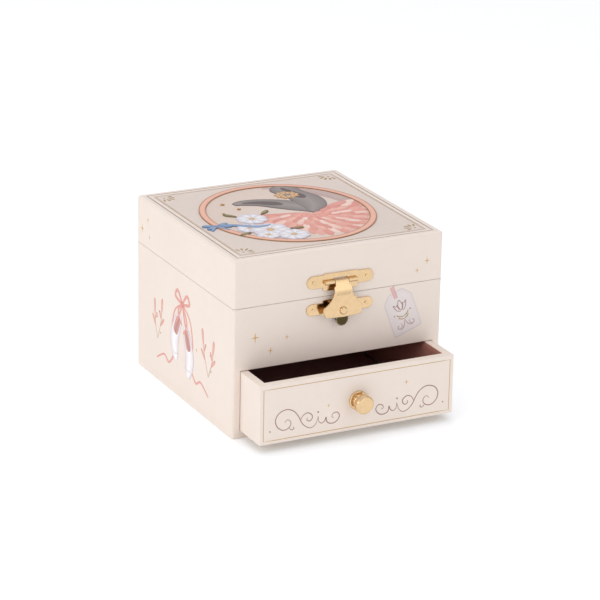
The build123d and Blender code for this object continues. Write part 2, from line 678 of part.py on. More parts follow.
with BuildPart() as governor_gear:
    rod_y(GOVERNOR_X, AXIS_Z, 0.6, (10.2, 27.6))
    gear(10, MODULE_FINE, GOVERNOR_X, 0, (12.3, 14.2), False)
    gear(18, MODULE_FINE, GOVERNOR_X, 180, (WORM_Y - 0.6, WORM_Y + 0.6), True)
save(governor_gear, "governor_gear")

WORM_LEAD = math.pi * MODULE_FINE
WORM_CORE = 1.05
WORM_TURNS = 5
worm_start = AXIS_Z - WORM_TURNS * WORM_LEAD / 2
worm_path = Helix(WORM_LEAD, WORM_TURNS * WORM_LEAD, WORM_CORE, center=(WORM_X, WORM_Y, worm_start))

with BuildPart() as fly_worm:
    rod_z(WORM_X, WORM_Y, 0.6, (42.6, 54.5))
    rod_z(WORM_X, WORM_Y, WORM_CORE, (46.0, 53.0))
    # One screw thread of trapezoid section, standing on the core.
    with BuildSketch(Plane(worm_path @ 0, x_dir=(1, 0, 0), z_dir=worm_path % 0)):
        with BuildLine():
            Polyline((-0.1, -0.42), (0.85, -0.13), (0.85, 0.13), (-0.1, 0.42), close=True)
        make_face()
    sweep(path=worm_path, is_frenet=True)
    rod_z(WORM_X, WORM_Y, 1.2, (54.5, 56.8))
    slab((WORM_X - 5.5, WORM_X + 5.5), (WORM_Y - 0.2, WORM_Y + 0.2), (54.6, 56.7))
save(fly_worm, "fly_worm")

with BuildPart() as stop_wire:
    # Upright wire under the lid, bent level beneath the deck to reach over the fly.
    elbow = (STOP_WIRE_X, STOP_WIRE_Y)
    arm_z = 57.7
    rod_z(*elbow, STOP_WIRE_R, (arm_z, 86.4))
    rod_z(*elbow, 1.2, (86.0, 87.3))
    with Locations((*elbow, arm_z)):
        Sphere(STOP_WIRE_R)
    run = (WORM_X - elbow[0], WORM_Y - elbow[1], 0)
    with BuildSketch(Plane((*elbow, arm_z), x_dir=(0, 0, 1), z_dir=run)):
        Circle(STOP_WIRE_R)
    extrude(amount=math.hypot(*run) + 0.8)
save(stop_wire, "stop_wire")

# ---- dancer ----
with BuildPart() as spindle:
    rod_z(0, SPINDLE_Y, 1.0, (38.6, 54.0))
    rod_z(0, SPINDLE_Y, 2.0, (54.0, 62.7))
    rod_z(0, SPINDLE_Y, 3.4, (62.7, SPRING_FOOT))
    rod_z(0, SPINDLE_Y, 10.0, (52.9, 54.0))
    # Face teeth pointing down to meet the pinion at the end of the cylinder.
    with Locations((0, SPINDLE_Y, 52.4)):
        with PolarLocations(9.0, 36, start_angle=5):
            Box(1.6, 0.5, 1.15)
save(spindle, "spindle")

with BuildPart() as ballerina_spring:
    with BuildSketch(Plane((0, SPINDLE_Y, SPRING_FOOT))):
        Circle(1.6)
        Circle(1.0, mode=Mode.SUBTRACT)
    bend_axis = Axis((0, SPINDLE_Y - SPRING_BEND_R, SPRING_FOOT), (1, 0, 0))
    revolve(axis=bend_axis, revolution_arc=FOLD)
save(ballerina_spring, "ballerina_spring")

fold = math.radians(FOLD)
DANCER = Plane((0, SPINDLE_Y, PIVOT_Z), x_dir=(1, 0, 0), z_dir=(0, -math.sin(fold), math.cos(fold)))
DANCER_SIDE = Plane(DANCER.origin, x_dir=DANCER.x_dir, z_dir=-DANCER.y_dir)


def lathe(profile):
    """A turned solid about the dancer's own upright axis, from (radius, height) points."""
    with BuildSketch(DANCER_SIDE) as outline:
        with BuildLine():
            Polyline((0, profile[0][1]), *profile, (0, profile[-1][1]), close=True)
        make_face()
    revolve(outline.sketch, axis=Axis(DANCER.origin, DANCER.z_dir))


with BuildPart() as ballerina_figure:
    # Peg, legs together on the toes, hips, waist, bodice, neck.
    lathe([
        (1.9, SPRING_END),
        (1.9, 4.6),
        (0.9, 5.4),
        (1.0, 7.0),
        (1.55, 9.6),
        (1.35, 11.6),
        (1.9, 14.6),
        (2.5, 17.0),
        (1.6, 20.4),
        (2.5, 24.2),
        (2.2, 26.2),
        (0.9, 27.2),
        (0.85, 28.8),
    ])
    with Locations(DANCER * Location((0, 0, 31.2))):
        Sphere(2.9)
    with Locations(DANCER * Location((0, 0.4, 34.5))):
        Sphere(1.45)
    # Arms raised in a ring above the head.
    for side in (-1, 1):
        with BuildLine(DANCER_SIDE) as arm:
            Spline((side * 1.6, 25.6), (side * 4.6, 28.4), (side * 5.6, 33.4), (side * 0.9, 40.2))
        with BuildSketch(Plane(arm.line @ 0, z_dir=arm.line % 0)):
            Circle(0.7)
        sweep(path=arm.line)
save(ballerina_figure, "ballerina_figure")

with BuildPart() as tutu:
    lathe([(1.7, 16.9), (8.9, 17.3), (8.9, 17.8), (1.7, 18.4)])
    with BuildSketch(DANCER_SIDE):
        with Locations((1.3, 17.6)):
            Rectangle(2.6, 3.0)
    revolve(axis=Axis(DANCER.origin, DANCER.z_dir), mode=Mode.SUBTRACT)
save(tutu, "tutu")
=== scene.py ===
import logging
import math
from dataclasses import dataclass, field
from enum import Enum
from typing import Callable, Iterable, Sequence

import bpy
from mathutils import Matrix, Vector, noise


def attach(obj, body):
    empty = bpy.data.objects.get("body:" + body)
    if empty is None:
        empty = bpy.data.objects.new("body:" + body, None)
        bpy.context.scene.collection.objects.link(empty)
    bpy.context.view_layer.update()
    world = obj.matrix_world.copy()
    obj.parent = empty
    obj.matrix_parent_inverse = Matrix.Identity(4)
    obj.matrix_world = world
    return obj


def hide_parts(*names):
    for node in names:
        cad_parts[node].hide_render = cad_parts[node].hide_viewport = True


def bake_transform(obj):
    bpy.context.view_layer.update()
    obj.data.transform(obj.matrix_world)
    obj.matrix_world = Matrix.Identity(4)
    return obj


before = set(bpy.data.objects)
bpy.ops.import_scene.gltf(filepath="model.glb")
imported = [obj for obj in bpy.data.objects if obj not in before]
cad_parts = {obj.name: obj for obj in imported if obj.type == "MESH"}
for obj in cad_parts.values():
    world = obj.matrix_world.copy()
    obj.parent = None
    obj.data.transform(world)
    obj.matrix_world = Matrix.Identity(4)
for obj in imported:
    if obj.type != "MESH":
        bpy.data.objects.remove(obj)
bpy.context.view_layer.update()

log = logging.getLogger("jewellery_box")
MM = 0.001
Point = tuple[float, float]
Colour = tuple[float, float, float, float]


def tint(code: str, lift: float = 1.0) -> Colour:
    """Turn a six-figure colour code into a linear colour.

    Args:
        code: Red, green and blue as six hexadecimal figures.
        lift: How much lighter (over 1) or darker the colour is made.

    Returns:
        Linear red, green, blue and an alpha of one.
    """
    channels = []
    for start in (0, 2, 4):
        share = int(code[start:start + 2], 16) / 255
        linear = share / 12.92 if share <= 0.04045 else ((share + 0.055) / 1.055) ** 2.4
        channels.append(min(1.0, linear * lift))
    return (channels[0], channels[1], channels[2], 1.0)


class Wire:
    """One output socket, with arithmetic that adds Math nodes."""

    def __init__(self, tree: "Tree", socket: bpy.types.NodeSocket) -> None:
        """Keep the socket and the tree it belongs to."""
        self.tree = tree
        self.socket = socket

    def _math(self, operation: str, first: object, second: object) -> "Wire":
        """Add a Math node on two values."""
        return self.tree.node("ShaderNodeMath", {"operation": operation}, {0: first, 1: second})

    def __add__(self, other: object) -> "Wire":
        """Sum."""
        return self._math("ADD", self, other)

    __radd__ = __add__

    def __mul__(self, other: object) -> "Wire":
        """Product."""
        return self._math("MULTIPLY", self, other)

    __rmul__ = __mul__

    def __sub__(self, other: object) -> "Wire":
        """Difference."""
        return self._math("SUBTRACT", self, other)

    def __rsub__(self, other: object) -> "Wire":
        """Difference the other way round."""
        return self._math("SUBTRACT", other, self)

    def __truediv__(self, other: object) -> "Wire":
        """Quotient."""
        return self._math("DIVIDE", self, other)

    def __pow__(self, other: object) -> "Wire":
        """Power."""
        return self._math("POWER", self, other)


class Tree:
    """A node tree while it is being wired up."""

    def __init__(self, tree: bpy.types.NodeTree) -> None:
        """Keep the tree."""
        self.tree = tree

    def node(self, kind: str, settings: dict[str, object], inputs: dict[object, object], out: object = 0) -> Wire:
        """Add any node: its settings first, then its sockets.

        Args:
            kind: The node's type.
            settings: Properties set on the node itself.
            inputs: Socket name or index to a value or a wire.
            out: Which output to hand back.

        Returns:
            The chosen output as a wire.
        """
        made = self.tree.nodes.new(kind)
        for key, value in settings.items():
            setattr(made, key, value)
        for key, value in inputs.items():
            self.feed(made.inputs[key], value)
        return Wire(self, made.outputs[out])

    def feed(self, socket: bpy.types.NodeSocket, value: object) -> None:
        """Link a wire to a socket, or set a plain value on it."""
        if isinstance(value, Wire):
            self.tree.links.new(value.socket, socket)
        else:
            socket.default_value = value

    def math(self, operation: str, value: object) -> Wire:
        """Add a Math node on one value."""
        return self.node("ShaderNodeMath", {"operation": operation}, {0: value})


class Shade(Tree):
    """A material's node tree."""

    def __init__(self, name: str) -> None:
        """Start an empty material with its output and main shader."""
        self.material = bpy.data.materials.new(name)
        self.material.use_nodes = True
        super().__init__(self.material.node_tree)
        self.tree.nodes.clear()
        self.output = self.tree.nodes.new("ShaderNodeOutputMaterial")
        self.main = self.tree.nodes.new("ShaderNodeBsdfPrincipled")
        self.tree.links.new(self.main.outputs[0], self.output.inputs["Surface"])

    def place(self, scale: float = 1.0) -> Wire:
        """Object coordinates, scaled."""
        here = self.node("ShaderNodeTexCoord", {}, {}, "Object")
        return self.node("ShaderNodeVectorMath", {"operation": "SCALE"}, {0: here, "Scale": scale})

    def noise(self, scale: float, detail: float = 3.0, rough: float = 0.5) -> Wire:
        """Cloudy noise over the object, from 0 to 1."""
        wanted = {"Vector": self.place(), "Scale": scale, "Detail": detail, "Roughness": rough}
        return self.node("ShaderNodeTexNoise", {}, wanted)

    def mix(self, share: object, first: object, second: object, blend: str = "MIX") -> Wire:
        """Blend two colours by a share from 0 to 1."""
        settings = {"data_type": "RGBA", "blend_type": blend}
        return self.node("ShaderNodeMix", settings, {0: share, 6: first, 7: second}, 2)

    def bump(self, height: object, depth: float, strength: float = 1.0, normal: object = None) -> Wire:
        """Raise the surface by a height signal, depth in metres."""
        wanted = {"Height": height, "Distance": depth, "Strength": strength}
        if normal is not None:
            wanted["Normal"] = normal
        return self.node("ShaderNodeBump", {}, wanted)

    def done(self, **sockets: object) -> bpy.types.Material:
        """Set the main shader's sockets (underscores for spaces) and hand the material back."""
        for key, value in sockets.items():
            self.feed(self.main.inputs[key.replace("_", " ")], value)
        return self.material


@dataclass(frozen=True)
class PaperFinish:
    """Printed matt paper wrapped over board."""

    name: str
    colour: str
    mottle: float = 0.05
    tooth: float = 0.00003
    roughness: float = 0.62

    def material(self) -> bpy.types.Material:
        """Build the paper: cloudy tone, fine tooth and faint fibres."""
        shade = Shade(self.name)
        cloud = shade.noise(38, 4) * 0.6 + shade.noise(210, 3) * 0.4
        fibre = shade.noise(2600, 5, 0.7)
        share = cloud * 0.8 + fibre * 0.2
        tone = shade.mix(share, tint(self.colour, 1 - self.mottle), tint(self.colour, 1 + self.mottle))
        rough = shade.noise(120, 2) * 0.14 + (self.roughness - 0.07)
        normal = shade.bump(fibre * 0.6 + shade.noise(900, 3) * 0.4, self.tooth)
        return shade.done(Base_Color=tone, Roughness=rough, Normal=normal, Specular_IOR_Level=0.32)


@dataclass(frozen=True)
class InkFinish:
    """Printed ink whose colour is carried by the mesh, with watercolour pooling."""

    name: str
    wash: float = 0.1
    roughness: float = 0.6

    def material(self) -> bpy.types.Material:
        """Build the ink: stored colour, pooled wash and paper tooth."""
        shade = Shade(self.name)
        ink = shade.node("ShaderNodeAttribute", {"attribute_name": "ink"}, {}, "Color")
        pool = shade.noise(330, 5, 0.6) * 0.65 + shade.noise(2100, 3) * 0.35
        level = pool * (2 * self.wash) + (1 - self.wash)
        toned = shade.node("ShaderNodeVectorMath", {"operation": "SCALE"}, {0: ink, "Scale": level})
        normal = shade.bump(shade.noise(2600, 5, 0.7), 0.00002)
        rough = shade.noise(400, 2) * 0.1 + (self.roughness - 0.05)
        return shade.done(Base_Color=toned, Roughness=rough, Normal=normal, Specular_IOR_Level=0.3)


@dataclass(frozen=True)
class MetalFinish:
    """Plated, brushed or blued metal."""

    name: str
    colour: str
    roughness: float = 0.2
    wear: float = 0.1
    grain: float = 0.000004
    edge: float = 0.00022
    stretch: tuple[float, float, float] = (1.0, 1.0, 1.0)

    def material(self) -> bpy.types.Material:
        """Build the metal: softened edges, faint polishing grain and patches of dullness."""
        shade = Shade(self.name)
        round_edge = shade.node("ShaderNodeBevel", {"samples": 4}, {"Radius": self.edge})
        here = shade.node("ShaderNodeVectorMath", {"operation": "MULTIPLY"}, {0: shade.place(), 1: self.stretch})
        grain = shade.node("ShaderNodeTexNoise", {}, {"Vector": here, "Scale": 2400, "Detail": 3})
        patch = shade.noise(340, 4, 0.6)
        tone = shade.mix(patch, tint(self.colour, 0.86), tint(self.colour, 1.1))
        rough = patch * self.wear + grain * 0.08 + (self.roughness - self.wear / 2)
        normal = shade.bump(grain, self.grain, 1.0, round_edge)
        return shade.done(Base_Color=tone, Roughness=rough, Metallic=1.0, Normal=normal)


@dataclass(frozen=True)
class FeltFinish:
    """Short flocked pile."""

    name: str
    colour: str
    sheen: float = 0.5

    def material(self) -> bpy.types.Material:
        """Build the pile: speckled fibres, brushed patches and a soft sheen."""
        shade = Shade(self.name)
        pile = shade.noise(5200, 4, 0.75)
        patch = shade.noise(90, 3)
        tone = shade.mix(pile * 0.65 + patch * 0.35, tint(self.colour, 0.72), tint(self.colour, 1.25))
        normal = shade.bump(pile, 0.00012)
        rough = patch * 0.1 + 0.86
        return shade.done(Base_Color=tone, Roughness=rough, Normal=normal, Sheen_Weight=self.sheen)


@dataclass(frozen=True)
class BoardFinish:
    """Pressed fibreboard or a sawn thin board."""

    name: str
    colour: str

    def material(self) -> bpy.types.Material:
        """Build the board: specks of fibre, long faint streaks and a dusty surface."""
        shade = Shade(self.name)
        here = shade.node("ShaderNodeVectorMath", {"operation": "MULTIPLY"}, {0: shade.place(), 1: (1, 1, 6)})
        streak = shade.node("ShaderNodeTexNoise", {}, {"Vector": here, "Scale": 160, "Detail": 5})
        speck = shade.noise(1900, 4, 0.8)
        tone = shade.mix(streak * 0.6 + speck * 0.4, tint(self.colour, 0.78), tint(self.colour, 1.2))
        normal = shade.bump(speck, 0.00005)
        return shade.done(Base_Color=tone, Roughness=speck * 0.15 + 0.75, Normal=normal)


@dataclass(frozen=True)
class PaintFinish:
    """Painted or moulded plastic, with slight orange peel."""

    name: str
    colour: str
    roughness: float = 0.4
    sheen: float = 0.0
    alpha: float = 1.0
    coat: float = 0.0

    def material(self) -> bpy.types.Material:
        """Build the paint: a little tone change, orange peel and uneven gloss."""
        shade = Shade(self.name)
        patch = shade.noise(700, 3)
        tone = shade.mix(patch, tint(self.colour, 0.9), tint(self.colour, 1.08))
        normal = shade.bump(shade.noise(3200, 2), 0.00001)
        rough = patch * 0.12 + (self.roughness - 0.06)
        settings = {"Sheen_Weight": self.sheen, "Alpha": self.alpha, "Coat_Weight": self.coat}
        return shade.done(Base_Color=tone, Roughness=rough, Normal=normal, **settings)


@dataclass(frozen=True)
class TulleFinish:
    """Stiff net: a fine woven mesh with open cells."""

    name: str
    colour: str
    cover: float = 0.55

    def material(self) -> bpy.types.Material:
        """Build the net: crossed threads that are more solid than the cells between them."""
        shade = Shade(self.name)
        cell = shade.node("ShaderNodeTexVoronoi", {"feature": "DISTANCE_TO_EDGE"},
                          {"Vector": shade.place(), "Scale": 1900})
        thread = shade.node("ShaderNodeMapRange", {}, {0: cell, 1: 0.0, 2: 0.16, 3: 1.0, 4: self.cover})
        tone = shade.mix(shade.noise(500, 2), tint(self.colour, 0.92), tint(self.colour, 1.08))
        rough = shade.noise(900, 2) * 0.1 + 0.6
        normal = shade.bump(thread, 0.00004)
        return shade.done(Base_Color=tone, Roughness=rough, Alpha=thread, Normal=normal, Sheen_Weight=0.4)


@dataclass(frozen=True)
class SweepFinish:
    """Back-lit white studio sweep."""

    name: str
    glow: float = 0.22

    def material(self) -> bpy.types.Material:
        """Build the sweep: matt white that also gives off a little light."""
        shade = Shade(self.name)
        tone = shade.mix(shade.noise(3, 2), tint("F4F7FA"), tint("F7F9FB"))
        return shade.done(Base_Color=tone, Roughness=0.9, Emission_Color=tint("F4F8FD"), Emission_Strength=self.glow)


@dataclass(frozen=True)
class MirrorFinish:
    """Silvered glass."""

    name: str

    def material(self) -> bpy.types.Material:
        """Build the mirror: bright silver with the faintest breath marks."""
        shade = Shade(self.name)
        haze = shade.noise(60, 4, 0.6)
        tone = shade.mix(haze, tint("D9DEDF"), tint("E6EAEA"))
        return shade.done(Base_Color=tone, Metallic=1.0, Roughness=haze * 0.03 + 0.015)


class Palette(Enum):
    """Every finish on the box."""

    CREAM = PaperFinish("cream_wrap_paper", "F1E3D8")
    RIM = PaperFinish("cream_rim_paper", "EFE3D9", 0.04)
    INK = InkFinish("watercolour_ink")
    BRASS = MetalFinish("bright_brass", "E4C397", 0.13, 0.08)
    PEARL = MetalFinish("pearled_brass", "C4B89C", 0.2, 0.12)
    GILT = MetalFinish("gilt_paint", "D9B25E", 0.35, 0.12)
    # Dark brass used as painted shade: the thumb tab's shade and dark reflection, the shade in the flap's grooves and
    # the shadow round the nails.
    PAINTED_SHADE_BRASS = MetalFinish("brass_painted_shade", "54472F", 0.36, 0.2)
    WORKS_BRASS = MetalFinish("machined_brass", "C9A15C", 0.3, 0.16, 0.00001, 0.0001, (1.0, 8.0, 1.0))
    STEEL = MetalFinish("ground_steel", "A9ABAE", 0.28, 0.14, 0.00001, 0.00012, (8.0, 1.0, 1.0))
    BLUED = MetalFinish("blued_spring_steel", "5A6472", 0.25, 0.12)
    FELT = FeltFinish("rose_felt", "DDB0AC")
    DARK_FELT = FeltFinish("brown_flock", "A8685A", 0.3)
    BOARD = BoardFinish("fibreboard", "B49A78")
    MIRROR = MirrorFinish("silvered_glass")
    WORKS_PLASTIC = PaintFinish("moulded_ivory_plastic", "E6E1D4", 0.45)
    SKIN = PaintFinish("painted_skin", "EFC8B0", 0.42, 0.0, 1.0, 0.1)
    HAIR = PaintFinish("painted_hair", "6A4630", 0.5)
    SATIN = PaintFinish("rose_satin", "E6A3A6", 0.35, 0.3)
    TIGHTS = PaintFinish("ivory_tights", "F4E4DA", 0.5)
    FEATURES = PaintFinish("painted_features", "4A2E28", 0.4)
    LIPS = PaintFinish("painted_lips", "B8545A", 0.35)
    TULLE = TulleFinish("blush_tulle", "F2C9CB")
    FLOOR = SweepFinish("pale_sweep")

    def made(self) -> bpy.types.Material:
        """The finish's material, built the first time it is asked for."""
        ready = bpy.data.materials.get(self.value.name)
        return ready if ready else self.value.material()


def dress(nodes: Iterable[str], finish: Palette) -> None:
    """Give carried-over pieces of the frame their finish.

    Args:
        nodes: Names of the pieces.
        finish: The finish they get.
    """
    for name in nodes:
        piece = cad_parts[name]
        piece.data.materials.clear()
        piece.data.materials.append(finish.made())


def build(name: str, points: Sequence[Sequence[float]], faces: Sequence[Sequence[int]], finish: Palette,
          body: str, smooth: bool = True, inks: Sequence[Colour] | None = None) -> bpy.types.Object:
    """Make a piece from millimetre points and let it ride on a body.

    Args:
        name: The piece's name.
        points: Vertices in millimetres.
        faces: Vertex numbers of each face.
        finish: Its finish.
        body: The body it moves with.
        smooth: Whether its faces are shaded smooth.
        inks: A stored colour for each vertex, for printed work.

    Returns:
        The finished piece.
    """
    mesh = bpy.data.meshes.new(name)
    mesh.from_pydata([[c * MM for c in p] for p in points], [], faces)
    mesh.validate()
    if inks is not None:
        layer = mesh.color_attributes.new("ink", "FLOAT_COLOR", "POINT")
        for place, ink in zip(layer.data, inks):
            place.color = ink
    mesh.polygons.foreach_set("use_smooth", [smooth] * len(mesh.polygons))
    mesh.materials.append(finish.made())
    mesh.update()
    piece = bpy.data.objects.new(name, mesh)
    bpy.context.scene.collection.objects.link(piece)
    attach(piece, body)
    log.info("%s: %d faces on %s", name, len(mesh.polygons), body)
    return piece


class Works(Tree):
    """A Geometry Nodes tree with named sizes, turned into a plain mesh."""

    def __init__(self, name: str) -> None:
        """Start an empty tree with its output."""
        tree = bpy.data.node_groups.new(name, "GeometryNodeTree")
        super().__init__(tree)
        tree.interface.new_socket("Geometry", in_out="OUTPUT", socket_type="NodeSocketGeometry")
        self.start = tree.nodes.new("NodeGroupInput")
        self.end = tree.nodes.new("NodeGroupOutput")
        self.sizes: dict[str, float] = {}

    def size(self, name: str, value: float) -> Wire:
        """Add a named input with its value, whole numbers as integers."""
        kind = "NodeSocketInt" if isinstance(value, int) else "NodeSocketFloat"
        socket = self.tree.interface.new_socket(name, in_out="INPUT", socket_type=kind)
        self.sizes[socket.identifier] = value
        return Wire(self, self.start.outputs[name])

    def finished(self, shape: Wire, finish: Palette, name: str, body: str | None, slot: str) -> bpy.types.Object:
        """Realize the tree's shape as a plain mesh piece.

        Args:
            shape: The geometry to keep.
            finish: Its finish.
            name: The piece's name.
            body: The body it rides on, or none.
            slot: Not used.

        Returns:
            The finished piece.
        """
        solid = self.node("GeometryNodeRealizeInstances", {}, {0: shape})
        dressed = self.node("GeometryNodeSetMaterial", {}, {"Geometry": solid, "Material": finish.made()})
        self.feed(self.end.inputs[0], dressed)
        piece = bpy.data.objects.new(name, bpy.data.meshes.new(name))
        bpy.context.scene.collection.objects.link(piece)
        modifier = piece.modifiers.new("works", "NODES")
        modifier.node_group = self.tree
        for identifier, value in self.sizes.items():
            modifier[identifier] = value
        bpy.context.view_layer.update()
        graph = bpy.context.evaluated_depsgraph_get()
        mesh = bpy.data.meshes.new_from_object(piece.evaluated_get(graph), depsgraph=graph)
        piece.modifiers.clear()
        piece.data = mesh
        mesh.name = name
        mesh.polygons.foreach_set("use_smooth", [True] * len(mesh.polygons))
        if body:
            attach(piece, body)
        log.info("%s: %d faces from nodes", name, len(mesh.polygons))
        return piece


def curve_through(points: Sequence[Point], per: int = 8) -> list[Point]:
    """Run a smooth line through points (Catmull-Rom).

    Args:
        points: The points it passes through.
        per: Steps between neighbouring points.

    Returns:
        The line's points.
    """
    line = []
    ends = [points[0], *points, points[-1]]
    for a, b, c, d in zip(ends, ends[1:], ends[2:], ends[3:]):
        for step in range(per):
            t = step / per
            line.append(tuple(
                0.5 * (2 * q + (r - p) * t + (2 * p - 5 * q + 4 * r - s) * t * t + (3 * q - p - 3 * r + s) * t ** 3)
                for p, q, r, s in zip(a, b, c, d)))
    line.append(tuple(points[-1]))
    return line


def spiral(centre: Point, start: float, end: float, first: float, last: float, steps: int = 26) -> list[Point]:
    """Points of a spiral scroll.

    Args:
        centre: Its eye.
        start: Radius at its beginning.
        end: Radius at its end.
        first: Angle at its beginning, in degrees.
        last: Angle at its end, in degrees.
        steps: Number of steps.

    Returns:
        The scroll's points.
    """
    line = []
    for step in range(steps + 1):
        t = step / steps
        radius = start + (end - start) * t
        angle = math.radians(first + (last - first) * t)
        line.append((centre[0] + radius * math.cos(angle), centre[1] + radius * math.sin(angle)))
    return line


@dataclass
class Print:
    """Flat printed work on one face of the box. Each shape is a thin closed film, laid over those before it."""

    name: str
    place: Callable[[float, float, float], Sequence[float]]
    outward: bool = True
    film: float = 0.015
    step: float = 0.0025
    foot: float = 0.002
    laid: int = 0
    points: list = field(default_factory=list)
    faces: list = field(default_factory=list)
    inks: list = field(default_factory=list)

    def _add(self, u: float, v: float, height: float, ink: Colour) -> int:
        """Store one vertex and hand back its number."""
        self.points.append(self.place(u, v, height))
        self.inks.append(ink)
        return len(self.points) - 1

    def _face(self, *corners: int) -> None:
        """Store a face, turned to suit the side it is on."""
        self.faces.append(corners if self.outward else tuple(reversed(corners)))

    def _top(self) -> float:
        """Height of the next film, a little over the last one."""
        self.laid += 1
        return self.film + self.step * self.laid

    def shape(self, rim: Sequence[Point], ink: Colour, core: Colour | None = None, middle: Point | None = None) -> None:
        """Print a filled shape whose wash runs from its middle to its rim.

        Args:
            rim: Outline, anticlockwise.
            ink: Colour at the rim.
            core: Colour at the middle.
            middle: Where the middle lies.
        """
        count = len(rim)
        middle = middle or (sum(p[0] for p in rim) / count, sum(p[1] for p in rim) / count)
        top, core = self._top(), core or ink
        centre = self._add(*middle, top, core)
        upper = [self._add(*p, top, ink) for p in rim]
        lower = [self._add(*p, self.foot, ink) for p in rim]
        base = self._add(*middle, self.foot, core)
        for here in range(count):
            after = (here + 1) % count
            self._face(centre, upper[here], upper[after])
            self._face(upper[here], lower[here], lower[after], upper[after])
            self._face(base, lower[after], lower[here])

    def stroke(self, line: Sequence[Point], width: float | Sequence[float], ink: Colour, taper: float = 0.35,
               closed: bool = False, core: Colour | None = None) -> None:
        """Print a brush stroke along a line.

        Args:
            line: The line's points.
            width: Width at its middle, or the width at every point.
            ink: Colour along its edges.
            taper: Share of the width left at its two ends.
            closed: Whether the line meets its own start.
            core: Colour along its middle.
        """
        count, top, core = len(line), self._top(), core or ink
        ladder = []
        for here, point in enumerate(line):
            before = line[(here - 1) % count] if closed or here else point
            after = line[(here + 1) % count] if closed or here < count - 1 else point
            run = Vector((after[0] - before[0], after[1] - before[1])).normalized()
            swell = 1 if closed else taper + (1 - taper) * max(0.0, math.sin(math.pi * here / (count - 1))) ** 0.6
            half = width / 2 * swell if isinstance(width, float) else width[here] / 2
            left = (point[0] - run.y * half, point[1] + run.x * half)
            right = (point[0] + run.y * half, point[1] - run.x * half)
            ladder.append([self._add(*left, top, ink), self._add(*point, top, core), self._add(*right, top, ink),
                           self._add(*right, self.foot, ink), self._add(*left, self.foot, ink)])
        for a, b in zip(ladder, ladder[1:] + (ladder[:1] if closed else [])):
            for here in range(5):
                after = (here + 1) % 5
                self._face(a[here], a[after], b[after], b[here])
        if not closed:
            self._face(*reversed(ladder[0]))
            self._face(*ladder[-1])

    def brush(self, path: Sequence[Point], widths: Sequence[float], ink: Colour, core: Colour) -> None:
        """Print a body of colour along a path with a width given at each of its points."""
        line = curve_through([(*p, w) for p, w in zip(path, widths)])
        self.stroke([p[:2] for p in line], [max(0.05, p[2]) for p in line], ink, 1.0, False, core)

    def star(self, centre: Point, size: float, ink: Colour) -> None:
        """Print a four-pointed star with hollow sides."""
        rim = []
        for point in range(8):
            reach = size * (1.0 if point % 4 == 0 else 0.8) if point % 2 == 0 else size * 0.17
            angle = math.radians(90 + 45 * point)
            rim.append((centre[0] + reach * math.cos(angle), centre[1] + reach * math.sin(angle)))
        self.shape(rim, ink, ink, centre)

    def dot(self, centre: Point, radius: float, ink: Colour, stretch: float = 1.0, core: Colour | None = None) -> None:
        """Print a round or oval spot."""
        angles = [2 * math.pi * step / 20 for step in range(20)]
        rim = [(centre[0] + radius * math.cos(a), centre[1] + radius * stretch * math.sin(a)) for a in angles]
        self.shape(rim, ink, core, centre)

    def petal(self, foot: Point, angle: float, length: float, width: float, ink: Colour, core: Colour,
              frill: float = 0.0) -> None:
        """Print one petal or leaf.

        Args:
            foot: Where it starts.
            angle: Its direction in degrees.
            length: Its length.
            width: Its greatest width.
            ink: Colour at the rim.
            core: Colour at the middle.
            frill: How wavy its tip is, in millimetres.
        """
        c, s = math.cos(math.radians(angle)), math.sin(math.radians(angle))
        rim = []
        for step in range(28):
            turn = 2 * math.pi * step / 28
            along = length * (0.5 - 0.5 * math.cos(turn)) + frill * math.sin(7 * turn) * math.sin(turn / 2) ** 2
            across = width / 2 * math.sin(turn) * (0.45 + 0.75 * math.sin(turn / 2) ** 2)
            rim.append((foot[0] + along * c - across * s, foot[1] + along * s + across * c))
        rim.reverse()
        self.shape(rim, ink, core, (foot[0] + 0.55 * length * c, foot[1] + 0.55 * length * s))

    def finished(self, finish: Palette, body: str, slot: str = "cream_paper") -> bpy.types.Object:
        """Turn the collected shapes into a piece riding on a body."""
        return build(self.name, self.points, self.faces, finish, body, False, self.inks)


